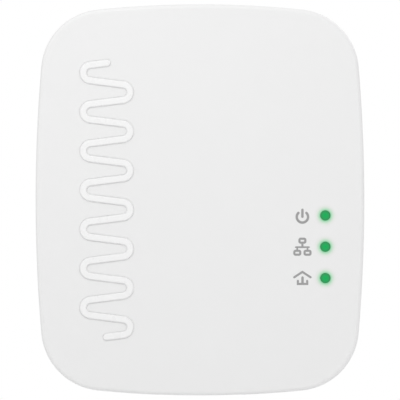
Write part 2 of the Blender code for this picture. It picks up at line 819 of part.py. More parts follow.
def make_light_guide():
    """A bar with a rod for each lamp, from just over the lamp to the front face."""
    bar_y = (-42.9, -41.9)
    bm = bmesh.new()
    box(bm, (LIGHT_X - 0.6, LIGHT_X + 0.6), bar_y, (LIGHT_Z[-1] - 1.4, LIGHT_Z[0] + 1.4))
    guide = finish("light_guide", bm, "clear_guide")
    rods = bmesh.new()
    for z in LIGHT_Z:
        face = dome_y(LIGHT_X, z)
        radius = LIGHT_ROD_RADIUS
        profile = [(radius * 0.5, face - 0.02), (radius * 0.9, face + 0.05), (radius, face + 0.2), (radius, -41.3)]
        turned(rods, profile, (LIGHT_X, z), 12)
    boolean(guide, "UNION", rods)


def make_power_parts():
    board = POWER_BOARD_Y
    make_block("bridge_rectifier", (-14.35, -3.2), (5.1, 5.0), on_front_of(board, 2.5), "chip_black")
    make_block("output_diode", (14.5, -10.0), (4.6, 2.6), on_front_of(board, 2.3), "chip_black")
    make_block("x2_capacitor", (-18.0, 10.5), (6.0, 13.0), on_front_of(board, 10.5), "film_yellow", 0.4)
    make_block("coupling_capacitor", (15.25, 2.4), (6.5, 6.5), on_front_of(board, 8.0), "film_yellow", 0.4)
    make_block("coupling_transformer", (0.0, -1.4), (6.5, 6.2), on_front_of(board, 5.5), "ferrite_grey", 0.3)
    make_can("output_capacitor", (6.5, -8.7), 4.0, 10.0)
    make_choke()
    make_fuse()
    make_varistor()
    make_bulk_capacitors()
    make_link_header()


def make_can(name, centre, radius, height):
    """A standing electrolytic capacitor with a groove near its base."""
    low, high = on_front_of(POWER_BOARD_Y, height)
    bm = bmesh.new()
    turned(bm, can_profile(radius, low, high), centre)
    finish(name, bm, "sleeve_black")


def can_profile(radius, top, base):
    """From the top to the base, with the groove above the rubber seal."""
    way = math.copysign(1.0, base - top)
    return [
        (radius - 0.4, top),
        (radius, top + way * 0.4),
        (radius, base - way * 2.2),
        (radius - 0.35, base - way * 1.7),
        (radius, base - way * 1.2),
        (radius, base),
    ]


def make_bulk_capacitors():
    """Two capacitors lying along X, with their bases outwards."""
    radius = 4.0
    y = POWER_BOARD_Y[0] - SEAT - radius
    for number, side in ((1, -1), (2, 1)):
        bm = bmesh.new()
        turned(bm, can_profile(radius, side * 1.2, side * 13.6), (y, 24.0), 16, "X")
        finish(f"bulk_capacitor_{number}", bm, "sleeve_black")


def make_fuse():
    """A ceramic fuse with metal ends, lying along X."""
    radius = 1.8
    y = POWER_BOARD_Y[0] - SEAT - radius
    bm = bmesh.new()
    profile = [(radius, -20.5), (radius, -18.5), (1.6, -18.4), (1.6, -13.1), (radius, -13.0), (radius, -11.0)]
    turned(bm, profile, (y, -10.6), 12, "X")
    finish("line_fuse", bm, "fuse_ceramic")


def make_varistor():
    """A coated disc standing on its edge."""
    radius, half = 4.4, 1.9
    y = POWER_BOARD_Y[0] - SEAT - radius
    middle_z = -8.8
    bm = bmesh.new()
    profile = [
        (radius - 0.9, middle_z - half),
        (radius, middle_z - half + 0.8),
        (radius, middle_z + half - 0.8),
        (radius - 0.9, middle_z + half),
    ]
    turned(bm, profile, (-5.0, y), 16, "Z")
    finish("varistor", bm, "varistor_blue")


def make_choke():
    """A drum core with its winding, standing on the board."""
    low, high = on_front_of(POWER_BOARD_Y, 8.5)
    bm = bmesh.new()
    profile = [(4.0, low), (4.0, low + 1.3), (3.4, low + 1.5), (3.4, high - 1.5), (4.0, high - 1.3), (4.0, high)]
    turned(bm, profile, (13.6, 11.2))
    finish("line_choke", bm, "ferrite_grey")


def make_transformer():
    """A core whose middle leg runs through the bobbin's hub, with the winding on the hub."""
    x, z = -2.6, 10.7
    low, high = on_front_of(POWER_BOARD_Y, 10.4)
    y = (low + high) / 2
    core = bmesh.new()
    box(core, (x - 7.0, x + 7.0), (y - 2.2, y + 2.2), (z - 6.0, z + 6.0))
    made = finish("transformer_core", core, "ferrite_grey")
    windows = bmesh.new()
    for side in (-1, 1):
        span = sorted((x + side * 1.5, x + side * 5.4))
        box(windows, span, (y - 4, y + 4), (z - 4.2, z + 4.2))
    boolean(made, "DIFFERENCE", windows)
    make_bobbin((x, y, z))
    make_winding((x, y, z))


def make_bobbin(centre):
    x, y, z = centre
    bm = bmesh.new()
    box(bm, (x - 2.5, x + 2.5), (y - 3.2, y + 3.2), (z - 3.9, z + 3.9))
    bobbin = finish("transformer_bobbin", bm, "bobbin_black")
    flanges = bmesh.new()
    for side in (-1, 1):
        span = sorted((z + side * 3.1, z + side * 3.9))
        box(flanges, (x - 5.1, x + 5.1), (y - 5.1, y + 5.1), span)
    boolean(bobbin, "UNION", flanges)
    hole = bmesh.new()
    box(hole, (x - 1.8, x + 1.8), (y - 2.5, y + 2.5), (z - 5, z + 5))
    boolean(bobbin, "DIFFERENCE", hole)


def make_winding(centre):
    x, y, z = centre
    bm = bmesh.new()
    box(bm, (x - 4.8, x + 4.8), (y - 4.8, y + 4.8), (z - 2.9, z + 2.9))
    winding = finish("transformer_winding", bm, "tape_yellow")
    hole = bmesh.new()
    box(hole, (x - 2.7, x + 2.7), (y - 3.4, y + 3.4), (z - 4, z + 4))
    boolean(winding, "DIFFERENCE", hole)


def make_link_header():
    """A tall pin strip that joins the two boards."""
    x = 20.4
    ends = (MAIN_BOARD_Y[1] + SEAT, POWER_BOARD_Y[0] - SEAT)
    strip = (ends[0] + 0.5, ends[1] - 0.5)
    block = make_block("link_header", (x, 0.0), (2.4, 15.6), strip, "jack_black", 0.0)
    pins = bmesh.new()
    for index in range(6):
        z = (index - 2.5) * 2.54
        box(pins, (x - 0.32, x + 0.32), ends, (z - 0.32, z + 0.32))
    boolean(block, "UNION", pins)


# ---------------------------------------------------------------- network jack


def make_jack():
    bm = bmesh.new()
    box(bm, (-JACK_HALF_WIDTH, JACK_HALF_WIDTH), JACK_Y, JACK_Z)
    jack = finish("rj45_housing", bm, "jack_black")
    near, far = CAVITY_Y
    outline = [
        (CAVITY_HALF_WIDTH, near),
        (CAVITY_HALF_WIDTH, far),
        (-CAVITY_HALF_WIDTH, far),
        (-CAVITY_HALF_WIDTH, near),
        (-3.2, near),
        (-3.2, near - 1.4),
        (-1.85, near - 1.4),
        (-1.85, near - 2.4),
        (1.85, near - 2.4),
        (1.85, near - 1.4),
        (3.2, near - 1.4),
        (3.2, near),
    ]
    cavity = bmesh.new()
    prism(cavity, outline, JACK_Z[0] - 1, CAVITY_END_Z, along="Z")
    boolean(jack, "DIFFERENCE", cavity)
    slot = bmesh.new()
    box(slot, (-4.1, 4.1), (-29.0, -27.6), (CAVITY_END_Z - 0.5, JACK_Z[1] + 1))
    boolean(jack, "DIFFERENCE", slot)


def wire_outline(path, thickness):
    """Both sides of a bent strip, with mitred bends."""
    sides = ([], [])
    for i, point in enumerate(path):
        ways = []
        for start, stop in ((i - 1, i), (i, i + 1)):
            if 0 <= start and stop < len(path):
                step = [path[stop][k] - path[start][k] for k in (0, 1)]
                length = math.hypot(*step)
                ways.append((step[0] / length, step[1] / length))
        normal = [sum(way[1] for way in ways), -sum(way[0] for way in ways)]
        length = math.hypot(*normal)
        normal = [value / length for value in normal]
        cosine = normal[0] * ways[0][1] - normal[1] * ways[0][0]
        reach = thickness / 2 / cosine
        for side, sign in zip(sides, (1, -1)):
            side.append((point[0] + sign * reach * normal[0], point[1] + sign * reach * normal[1]))
    return sides[0] + sides[1][::-1]


def make_contacts():
    """Eight spring wires, from a foot behind the jack to a free end inside its cavity."""
    path = [
        (JACK_Y[0], -15.2),
        (-28.3, -15.2),
        (-28.3, -26.9),
        (-28.6, -27.5),
        (-29.1, -27.5),
        (-29.4, -26.9),
        (-30.3, -21.0),
    ]
    outline = wire_outline(path, CONTACT_WIDTH)
    for index in range(8):
        x = (index - 3.5) * CONTACT_PITCH
        bm = bmesh.new()
        prism(bm, outline, x - CONTACT_WIDTH / 2, x + CONTACT_WIDTH / 2, along="X")
        finish(f"rj45_contact_{index + 1}", bm, "contact_gold")


# ---------------------------------------------------------------- buttons


def make_pair_button():
    """A cap in the bottom wall with a flange behind the wall and a stem; its origin is on its face."""
    origin = (BUTTON_X, BUTTON_Y, BUTTON_FACE_Z)
    flange_z = [level - BUTTON_FACE_Z for level in BUTTON_FLANGE_Z]
    stem_end = BUTTON_STEM_END_Z - BUTTON_FACE_Z
    cap = rectangle(BUTTON_CAP[0] / 2, BUTTON_CAP[1] / 2)
    edge = rectangle(BUTTON_CAP[0] / 2 - 0.3, BUTTON_CAP[1] / 2 - 0.3)
    flange = rounded(rectangle(3.4, 2.1), 0.6)
    stem = rounded(rectangle(1.1, 1.1), 0.2)
    levels = [
        (rounded(edge, 1.1), 0.0),
        (rounded(cap, 1.3), 0.3),
        (rounded(cap, 1.3), flange_z[0]),
        (flange, flange_z[0]),
        (flange, flange_z[1]),
        (stem, flange_z[1]),
        (stem, stem_end),
    ]
    bm = bmesh.new()
    loft(bm, [[(x, y, level) for x, y in outline] for outline, level in levels])
    finish("pair_button", bm, "white_case", at=origin)


def make_switch(name, x):
    """A side-push switch with an open bore for its plunger."""
    half_x = 3.0
    y = on_main_rear(4.2)
    body = make_block(name, (x, sum(SWITCH_Z) / 2), (2 * half_x, SWITCH_Z[1] - SWITCH_Z[0]), y, "switch_steel", 0.2)
    bore = bmesh.new()
    box(bore, (x - 1.3, x + 1.3), (BUTTON_Y - 0.75, BUTTON_Y + 0.75), (SWITCH_Z[0] - 1, SWITCH_BORE_END_Z))
    boolean(body, "DIFFERENCE", bore)


def make_plunger(name, x, tip_z):
    """A plunger from its tip into the switch's bore; its origin is at its tip."""
    end = PLUNGER_END_Z - tip_z
    bm = bmesh.new()
    prism(bm, rounded(rectangle(1.1, 0.55), 0.2, 2), 0.0, end, along="Z")
    finish(name, bm, "plunger_black", at=(x, BUTTON_Y, tip_z))


def main():
    clear_scene()
    make_front_cover()
    make_rear_cover()
    make_label()
    make_pins()
    make_pin_retainer()
    make_screws()
    make_main_board()
    make_power_board()
    make_insulation_sheet()
    make_main_board_parts()
    make_heat_spreader()
    make_light_guide()
    make_power_parts()
    make_transformer()
    make_jack()
    make_contacts()
    make_pair_button()
    make_switch("pair_switch_body", BUTTON_X)
    make_switch("reset_switch_body", RESET_X)
    make_plunger("pair_switch_plunger", BUTTON_X, PAIR_PLUNGER_TIP_Z)
    make_plunger("reset_switch_plunger", RESET_X, RESET_PLUNGER_TIP_Z)


main()
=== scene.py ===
"""Looks of the powerline adapter: fine shells, plug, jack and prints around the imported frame.

Sizes are in millimetres in the frame's axes, and solid() turns them into metres. The front faces
-Y, the plug points +Y and +Z is up.
"""

import json
from math import asin, atan2, copysign, cos, hypot, pi, radians, sin, sqrt, tan

import bmesh
import bpy
from mathutils import Matrix, Vector


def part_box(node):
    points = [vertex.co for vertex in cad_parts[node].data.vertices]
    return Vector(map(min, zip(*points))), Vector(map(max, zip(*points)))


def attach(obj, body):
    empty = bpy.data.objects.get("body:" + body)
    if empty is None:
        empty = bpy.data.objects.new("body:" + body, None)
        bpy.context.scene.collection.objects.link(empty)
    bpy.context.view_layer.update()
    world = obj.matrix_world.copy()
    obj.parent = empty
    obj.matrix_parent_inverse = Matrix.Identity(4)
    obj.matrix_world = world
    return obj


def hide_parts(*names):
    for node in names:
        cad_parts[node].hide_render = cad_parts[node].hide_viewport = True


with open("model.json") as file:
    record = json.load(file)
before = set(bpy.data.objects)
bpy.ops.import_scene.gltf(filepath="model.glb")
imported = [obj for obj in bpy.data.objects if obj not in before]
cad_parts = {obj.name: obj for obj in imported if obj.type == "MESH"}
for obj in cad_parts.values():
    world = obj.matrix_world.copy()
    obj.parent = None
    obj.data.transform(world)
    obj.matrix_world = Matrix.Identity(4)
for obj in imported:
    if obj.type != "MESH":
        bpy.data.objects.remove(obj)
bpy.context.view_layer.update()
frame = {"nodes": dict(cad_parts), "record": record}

MM = 0.001
QUARTER = pi / 2


def node_box(node):
    """(lowest corner, highest corner) of a CAD node, in millimetres."""
    low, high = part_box(node)
    return low / MM, high / MM


# Case outline, from the frame's own size and the radii of its arcs.
CASE_HALF_WIDTH = node_box("rear_cover")[1].x
CASE_HALF_HEIGHT = 33.0
SIDE_BOW_RADIUS = 265.0
END_BOW_RADIUS = 171.0
SIDE_CENTRE = CASE_HALF_WIDTH - SIDE_BOW_RADIUS
END_CENTRE = CASE_HALF_HEIGHT - END_BOW_RADIUS
CORNER_RADIUS = 10.6

# Case depth along Y.
FRONT_Y = -46.0
PARTING_Y = -30.0
REAR_Y = -18.0
WALL = 1.9
FLOOR_INSIDE_Y = -43.5
REAR_INSIDE_Y = -20.0
DOME = 1.0 / 1.4
DRAFT = tan(radians(0.8))
FRONT_EDGE_RADIUS = 0.6
REAR_EDGE_RADIUS = 2.5
TONGUE_INSET = 1.15
TONGUE_TIP_Y = -29.0
REBATE_INSET = 0.85
REBATE_Y = -28.7
REAR_RIM_Y = -29.85
GROOVE_DEPTH = 0.4
GROOVE_WIDTH = 0.5
INSIDE_RADIUS = 1.2
BREAK = 0.12

# Mesh density: steps on a quarter's side, corner and end arcs, on rounded edges and round circles,
# and the front face's rings, as distances from its edge and then as shares of the last one's size.
RING_STEPS = (18, 20, 14)
EDGE_STEPS = 10
ROUND_SIDES = 48
BORE_SIDES = 24
FACE_INSETS = (3.0, 4.5, 6.5)
FACE_SHARES = (0.86, 0.72, 0.58, 0.44, 0.3, 0.16, 0.05)

# Plug boss.
BOSS_WIDTH = 35.3
BOSS_HEIGHT = 13.7
BOSS_CHAMFER = 4.6
BOSS_CORNER_RADIUS = 2.5
BOSS_WALL = 2.0
BOSS_END_WALL = 2.6
BOSS_FILLET = 0.8
BOSS_EDGE_RADIUS = 0.6
BOSS_DRAFT = 0.2
PIN_LENGTH = 19.0
PIN_SPACING = 18.6
PIN_TIP_SPACING = 17.5
PIN_RADIUS = 2.0
PIN_SHANK_RADIUS = 1.5
PIN_TAIL_RADIUS = 1.0
PIN_TAIL_Y = -24.9
PIN_TIP_LENGTH = 1.5
PIN_TIP_STEPS = 12
PIN_FLANGE_RADIUS = 2.9
PIN_FLANGE_Y = (-4.3, -2.9)
PIN_EDGE = 0.1
SLEEVE_RADIUS = 1.9
SLEEVE_BORE = 1.65
SLEEVE_LENGTH = 9.85
SLEEVE_EDGE_RADIUS = 0.15
SLEEVE_CLEARANCE = 0.14

# Screws: places, core and crest radius of the thread, and depth of the head.
CASE_SCREW_AT = ((-18.5, 24.0), (18.5, 24.0), (-18.5, -24.0), (18.5, -24.0))
MAIN_SCREW_AT = ((-21.0, 10.0), (21.0, 10.0))
POWER_SCREW_AT = ((-19.6, 0.0), (19.5, 16.5))
SCREWS = {
    "case_screw": (CASE_SCREW_AT, 1.0, 1.22, 1.8),
    "board_screw": (MAIN_SCREW_AT, 0.78, 0.95, 1.3),
    "power_board_screw": (POWER_SCREW_AT, 0.78, 0.95, 1.3),
}
SCREW_SIDES = 32
THREAD_PITCH = 0.8
SCREW_HEAD = ((0.35, 0.0), (0.7, 0.08), (0.93, 0.3), (1.0, 0.6))  # shares of its radius and depth
THREAD_SHAPE = ((0.0, 0.0), (0.3, 0.0), (0.55, 1.0), (0.65, 1.0), (0.9, 0.0))
POINT_LENGTH = 2.2
CROSS_ARMS = ((0.17, 0.55), (0.55, 0.17))

# Screw posts of each shell: places, radius, end level and chamfer. Their feet flare into the floor.
FRONT_POSTS = ((CASE_SCREW_AT, 2.7, -25.6, 0.15), (MAIN_SCREW_AT, 2.2, -40.1, 0.1))
REAR_POSTS = ((CASE_SCREW_AT, 3.2, -25.2, 0.1), (POWER_SCREW_AT, 2.2, -22.3, 0.1))
POST_FLARE = 0.4
POST_DRAFT = 0.05
POST_FOOT = 0.5
CASE_BORE_RADIUS = 1.35
BOARD_BORE_RADIUS = 1.1

# Lamp windows.
LAMPS = ("led_power", "led_network", "led_powerline")
LIGHT_AT = [sum(node_box(lamp), Vector()) / 2 for lamp in LAMPS]
LIGHT_RADIUS = 0.795
LIGHT_HOLE_RADIUS = 0.85
LIGHT_CROWN = 0.05
CROWN_SHARES = (0.15, 0.4, 0.65, 0.85)
LIGHT_EDGE_RADIUS = 0.1
ROD_END_Y = -41.3
GUIDE_BAR_Y = (-42.9, -41.9)
GUIDE_BAR_HALF_WIDTH = 0.6
GUIDE_BAR_OVERHANG = 1.4

# Printed icons: their centre, and how far the ink stands out of and reaches into the plastic.
ICON_X = 17.19
INK_RISE = 0.012
INK_SINK = 0.03
FLAT_ANGLE = 0.01

# Raised wave.
WAVE_X = -15.66
WAVE_HALF_LENGTH = 23.0
WAVE_AMPLITUDE = 3.95
WAVE_BENDS = 14
WAVE_BEND_RADIUS = 1.3
WAVE_BEND_STEPS = 18
WAVE_HALF_STROKE = 0.6
WAVE_HEIGHT = 0.25
WAVE_EDGE_RADIUS = 0.1
MOAT_WIDTH = 0.09
MOAT_DEPTH = 0.08

# Network port. The latch's steps are half widths and heights, and the wire's bends are in Y and Z.
PORT_HALF_WIDTH = 6.9
PORT_Y = (-37.6, -27.2)
PORT_CORNER_RADIUS = 0.6
JACK_MOUTH_Z = -30.7
JACK_CORNER_RADIUS = 0.4
CAVITY_HALF_WIDTH = 5.95
CAVITY_Y = (-34.8, -27.8)
CAVITY_END_Z = -17.6
LATCH_STEPS = ((3.2, 0.0), (3.2, 1.4), (1.85, 1.4), (1.85, 2.4))
SPRING_SLOT_HALF_WIDTH = 4.1
SPRING_SLOT_Y = (-29.0, -27.6)
COMB_HALF_WIDTH = 0.17
COMB_FRONT_Y = -28.7
COMB_END_Z = -19.4
CONTACTS = 8
CONTACT_PITCH = 1.016
CONTACT_RADIUS = 0.21
CONTACT_BEND_RADIUS = 0.9
CONTACT_FOOT_Z = -15.2
CONTACT_BENDS = ((-28.3, CONTACT_FOOT_Z), (-28.3, -27.2), (-28.85, -27.9), (-29.4, -27.2), (-30.3, -21.0))

# Button and pinhole.
BUTTON_GAP = 0.2
BUTTON_X = 11.9
BUTTON_Y = -36.35
BUTTON_CAP = (5.6, 3.6)
BUTTON_CORNER_RADIUS = 1.45
BUTTON_HOLE_RADIUS = 1.5
BUTTON_EDGE_RADIUS = 0.3
BUTTON_CROWN = ((1.2, 0.0), (0.8, 0.01), (0.5, 0.04))
BUTTON_CROWN_HEIGHT = 0.06
BUTTON_MARK_RADII = (0.62, 0.85)
BUTTON_MARK_DEPTH = 0.15
BUTTON_FLANGE_Z = (-29.9, -29.1)
BUTTON_STEM_END_Z = -27.9
BUTTON_HOLE_END_Z = -29.5
RESET_X = -11.9
RESET_HOLE_RADIUS = 0.8
PLUNGER_EDGE_RADIUS = 0.25
PLUNGER_CORNER_RADIUS = 0.3

# Label and its printed frame and rules.
LABEL_CORNER_RADIUS = 1.2
LABEL_FRAME_INSETS = (0.8, 0.92)
LABEL_RULES_AT = (0.36, 0.68)
RULE_HALF_WIDTH = 0.06

# Ventilation slots, and their cut's (growth, level) from outside the wall to inside it.
VENT_Y = (-27.5, -21.5)
VENT_WIDTH = 1.2
VENT_PITCH = 2.6
SIDE_VENTS = 11
TOP_VENTS = 9
VENT_CUT = ((0.35, 0.25), (0.22, 0.0), (0.0, -0.28), (0.0, -3.0))

# Camera and floor, in metres.
CAMERA_DISTANCE = 3.0
VIEW_WIDTH = 0.0675
SENSOR_WIDTH = 36.0
CLIP_END = 20.0
FLOOR_Z = -0.06
FLOOR_RADIUS = 0.28
FLOOR_SIDES = 128

# Light: the backdrop's level, the sky's level at its dark and bright ends, and the two soft lights.
BACKDROP = 1.0
SKY_LOW = 0.72
SKY_HIGH = 1.18
SKY_TOWARD = (-0.1, -0.9, 0.35)
KEY_PLACE = (-0.05, -0.19, 0.15)
KEY_SIZE = 0.12
KEY_POWER = 0.075
REAR_PLACE = (0.5, 0.7, 0.5)
REAR_SIZE = 0.6
REAR_POWER = 1.6

# Textures: sizes of the colour's and the gloss's mottling, of the board's traces and of one radian
# of the pins' rings, in millimetres, and radians per unit of a wave texture.
MOTTLE_SIZE = 6.0
GLOSS_SIZE = 2.5
TRACE_SIZE = 2.2
RING_SIZE = 0.08
WAVE_TEXTURE_RADIANS = 20


# ---- materials


def put(tree, socket, value):
    """Link an input to another node's output, or set its own value."""
    if isinstance(value, bpy.types.NodeSocket):
        tree.links.new(value, socket)
    else:
        socket.default_value = value


def node(tree, kind, *ordered, **named):
    """Add a shader node. Values fill its inputs in order, or its attributes and inputs by name."""
    made = tree.nodes.new(f"ShaderNode{kind}")
    for name, value in named.items():
        if name in made.bl_rna.properties:
            setattr(made, name, value)
        else:
            put(tree, made.inputs[name.replace("_", " ")], value)
    for socket, value in zip(made.inputs, ordered):
        put(tree, socket, value)
    return made


def noise(tree, place, size, detail=3.0):
    """Noise whose features are about size millimetres across."""
    scale = 1 / (size * MM)
    made = node(tree, "TexNoise", Vector=place, Scale=scale, Detail=detail, Roughness=0.55)
    return made.outputs["Fac"]


def ramp(tree, value, stops):
    """A colour ramp from (position, colour) stops."""
    made = node(tree, "ValToRGB", value)
    elements = made.color_ramp.elements
    while len(elements) < len(stops):
        elements.new(0.5)
    for element, (position, colour) in zip(elements, stops):
        element.position = position
        element.color = (*colour, 1.0)
    return made.outputs["Color"]


def recolour(tree, shader, factor, colour, blend="MIX"):
    """Mix one more colour, a socket or an RGB value, over the shader's own."""
    base = shader.inputs["Base Color"]
    made = node(tree, "Mix", data_type="RGBA", blend_type=blend)
    sockets = [made.inputs["Factor"]] + [socket for socket in made.inputs if socket.type == "RGBA"]
    for socket, value in zip(sockets, (factor, base.links[0].from_socket, colour)):
        put(tree, socket, value)
    put(tree, base, [socket for socket in made.outputs if socket.type == "RGBA"][0])


def bumped(tree, height, depth, normal=None):
    """The normal of a bump depth millimetres high, on top of another normal where one is given."""
    under = {"Normal": normal} if normal else {}
    bump = node(tree, "Bump", Strength=1.0, Distance=depth * MM, Height=height, **under)
    return bump.outputs["Normal"]


def surface(
    name, colour, roughness, metallic=0.0, grain=0.12, relief=0.004, mottle=0.03, wear=0.06, specular=0.5
):
    """A moulded, turned or printed surface: fine relief, uneven gloss and slightly uneven colour.

    grain and relief are the size and height of the fine texture in millimetres. Returns the
    material, its shader and its place output, for more detail to be added.
    """
    made = bpy.data.materials.new(name)
    made.use_nodes = True
    tree = made.node_tree
    shader = tree.nodes["Principled BSDF"]
    place = node(tree, "TexCoord").outputs["Object"]
    darker = tuple(channel * (1 - mottle) for channel in colour)
    uneven = noise(tree, place, GLOSS_SIZE, 5.0)
    gloss = node(tree, "MapRange", uneven, 0.3, 0.7, max(roughness - wear, 0.02), roughness + wear)
    finish = {
        "Metallic": metallic,
        "Specular IOR Level": specular,
        "Base Color": ramp(tree, noise(tree, place, MOTTLE_SIZE), ((0.3, darker), (0.7, colour))),
        "Roughness": gloss.outputs["Result"],
        "Normal": bumped(tree, noise(tree, place, grain, 2.0), relief),
    }
    for name, value in finish.items():
        put(tree, shader.inputs[name], value)
    return made, shader, place


# Painted glow: the lamps' light is painted into the plastic's colour round each window, as a share of the
# case colour by distance in mm.
GLOW_REACH = 2.0
PAINTED_GLOW = (
    (0.86, (0.32, 0.77, 0.45)),
    (1.0, (0.46, 0.84, 0.56)),
    (1.12, (0.61, 0.9, 0.69)),
    (1.28, (0.76, 0.925, 0.78)),
    (1.45, (0.89, 0.95, 0.89)),
    (1.65, (0.96, 0.975, 0.955)),
    (1.95, (1.0, 1.0, 1.0)),
)

# The lit windows' colour from their middle to their rim.
LAMP_SHADES = (
    (0.0, (0.001, 0.377, 0.081)),
    (0.43, (0.013, 0.372, 0.094)),
    (0.64, (0.022, 0.317, 0.091)),
    (0.95, (0.038, 0.265, 0.098)),
)


def lamp_distance(tree, place):
    """Distance in X and Z from the nearest lamp's centre, as a share of GLOW_REACH."""
    nearest = None
    for lamp in LIGHT_AT:
        flat = node(tree, "VectorMath", place, (1.0, 0.0, 1.0), operation="MULTIPLY")
        centre = (lamp.x * MM, 0.0, lamp.z * MM)
        away = node(tree, "VectorMath", flat.outputs["Vector"], centre, operation="DISTANCE")
        distance = away.outputs["Value"]
        if nearest:
            distance = node(tree, "Math", nearest, distance, operation="MINIMUM").outputs["Value"]
        nearest = distance
    return node(tree, "Math", nearest, GLOW_REACH * MM, operation="DIVIDE").outputs["Value"]


def front_plastic_painted_glow():
    """The case plastic, with a soft green glow of the lamps' light painted into its colour round each lamp
    window.
    """
    made, shader, place = surface("front_plastic_painted_glow", *CASE_PLASTIC)
    tree = made.node_tree
    stops = [(away / GLOW_REACH, share) for away, share in PAINTED_GLOW]
    # Paints the lamps' green glow into the base colour round each window.
    recolour(tree, shader, 1.0, ramp(tree, lamp_distance(tree, place), stops), "MULTIPLY")
    return made


def lamp_face():
    """A lamp window: lit green plastic, a little deeper in colour round its rim."""
    made, shader, place = surface("lamp_face", (0.004, 0.04, 0.012), 0.35, relief=0.001, specular=0.08)
    tree = made.node_tree
    rim = LIGHT_RADIUS / GLOW_REACH
    lit = ramp(tree, lamp_distance(tree, place), [(share * rim, colour) for share, colour in LAMP_SHADES])
    put(tree, shader.inputs["Emission Color"], lit)
    put(tree, shader.inputs["Emission Strength"], 1.0)
    return made


def pin_metal():
    """Nickel turned in a lathe about the Y axis, with fine rings."""
    made, shader, place = surface("nickel_pin", (0.72, 0.7, 0.66), 0.22, 1.0, 0.5, 0.001, wear=0.05)
    tree = made.node_tree
    scale = 1 / (RING_SIZE * MM) / WAVE_TEXTURE_RADIANS
    lathe = {"wave_type": "BANDS", "bands_direction": "Y"}
    rings = node(tree, "TexWave", Vector=place, Scale=scale, Distortion=1.5, **lathe)
    add_bump(tree, shader, rings.outputs["Fac"], 0.0015)
    return made


def add_bump(tree, shader, height, depth):
    """Put one more bump on top of the shader's own."""
    plain = shader.inputs["Normal"].links[0].from_socket
    put(tree, shader.inputs["Normal"], bumped(tree, height, depth, plain))


def board_laminate():
    """Green solder mask over copper: straight traces and a slight weave."""
    made, shader, place = surface("board_laminate", (0.012, 0.13, 0.055), 0.32, grain=0.25, relief=0.002)
    tree = made.node_tree
    scale = 1 / (TRACE_SIZE * MM)
    traces = node(tree, "TexVoronoi", Vector=place, Scale=scale, distance="MANHATTAN", feature="F1")
    line = ramp(tree, traces.outputs["Distance"], ((0.4, (0.0, 0.0, 0.0)), (0.44, (1.0, 1.0, 1.0))))
    recolour(tree, shader, line, (0.03, 0.24, 0.09, 1.0))
    add_bump(tree, shader, line, 0.01)
    return made


# Colour, roughness, metallic, grain, relief, mottle, wear and specular of the case's plastic, and
# then of the record's other plain material slots, the printed ink and the raised wave.
CASE_PLASTIC = ((0.82, 0.82, 0.82), 0.42, 0.0, 0.1, 0.004, 0.006, 0.06, 0.35)
PLAIN_LOOKS = {
    "white_sleeve": ((0.8, 0.8, 0.79), 0.42, 0.0, 0.1, 0.004, 0.02),
    "steel_screw": ((0.46, 0.46, 0.47), 0.34, 1.0, 0.3, 0.003, 0.12),
    "label_film": ((0.66, 0.67, 0.68), 0.38, 0.0, 0.2, 0.002, 0.02),
    "chip_black": ((0.02, 0.02, 0.021), 0.55, 0.0, 0.06, 0.006, 0.15),
    "pad_grey": ((0.33, 0.35, 0.4), 0.85, 0.0, 0.3, 0.02, 0.08),
    "heat_aluminium": ((0.75, 0.76, 0.77), 0.36, 1.0, 0.2, 0.003, 0.05),
    "can_silver": ((0.66, 0.66, 0.68), 0.28, 1.0, 0.4, 0.002, 0.05),
    "jack_black": ((0.028, 0.028, 0.029), 0.46, 0.0, 0.08, 0.006, 0.15),
    "contact_gold": ((0.87, 0.62, 0.24), 0.22, 1.0, 0.4, 0.001, 0.06),
    "switch_steel": ((0.6, 0.6, 0.61), 0.33, 1.0, 0.3, 0.002, 0.06),
    "plunger_black": ((0.028, 0.028, 0.029), 0.48, 0.0, 0.08, 0.005, 0.15),
    "fuse_ceramic": ((0.74, 0.7, 0.58), 0.4, 0.0, 0.15, 0.004, 0.06),
    "varistor_blue": ((0.03, 0.12, 0.36), 0.3, 0.0, 0.6, 0.01, 0.1),
    "film_yellow": ((0.74, 0.53, 0.08), 0.36, 0.0, 0.2, 0.004, 0.06),
    "sleeve_black": ((0.035, 0.035, 0.045), 0.28, 0.0, 0.8, 0.01, 0.15),
    "ferrite_grey": ((0.09, 0.09, 0.1), 0.6, 0.0, 0.08, 0.01, 0.2),
    "bobbin_black": ((0.028, 0.028, 0.029), 0.5, 0.0, 0.1, 0.006, 0.15),
    "tape_yellow": ((0.8, 0.6, 0.09), 0.38, 0.0, 0.4, 0.006, 0.06),
    "sheet_clear": ((0.78, 0.78, 0.74), 0.36, 0.0, 0.5, 0.003, 0.03),
    "icon_ink": ((0.345, 0.345, 0.345), 0.5, 0.0, 0.05, 0.001, 0.05, 0.06, 0.2),
    "wave_plastic": ((0.87, 0.87, 0.87), 0.3, 0.0, 0.3, 0.001, 0.008),
}


def make_looks():
    """A finished material for each of the record's slots, and for the front, its ink and its wave."""
    looks = {name: surface(name, *values)[0] for name, values in PLAIN_LOOKS.items()}
    looks["white_case"] = surface("white_plastic", *CASE_PLASTIC)[0]
    looks["nickel_pin"] = pin_metal()
    looks["board_green"] = board_laminate()
    looks["lamp_green"] = lamp_face()
    looks["clear_guide"] = lamp_face()
    looks["front_plastic_painted_glow"] = front_plastic_painted_glow()
    return looks


LOOKS = make_looks()


# ---- mesh tools


def added(name, data):
    """Add an object with its data to the scene."""
    made = bpy.data.objects.new(name, data)
    bpy.context.scene.collection.objects.link(made)
    return made


def solid(name, bm):
    """Make an object from the closed shapes in a bmesh, which is in millimetres."""
    bmesh.ops.recalc_face_normals(bm, faces=bm.faces)
    bmesh.ops.scale(bm, vec=(MM, MM, MM), verts=bm.verts)
    mesh = bpy.data.meshes.new(name)
    bm.to_mesh(mesh)
    bm.free()
    return added(name, mesh)


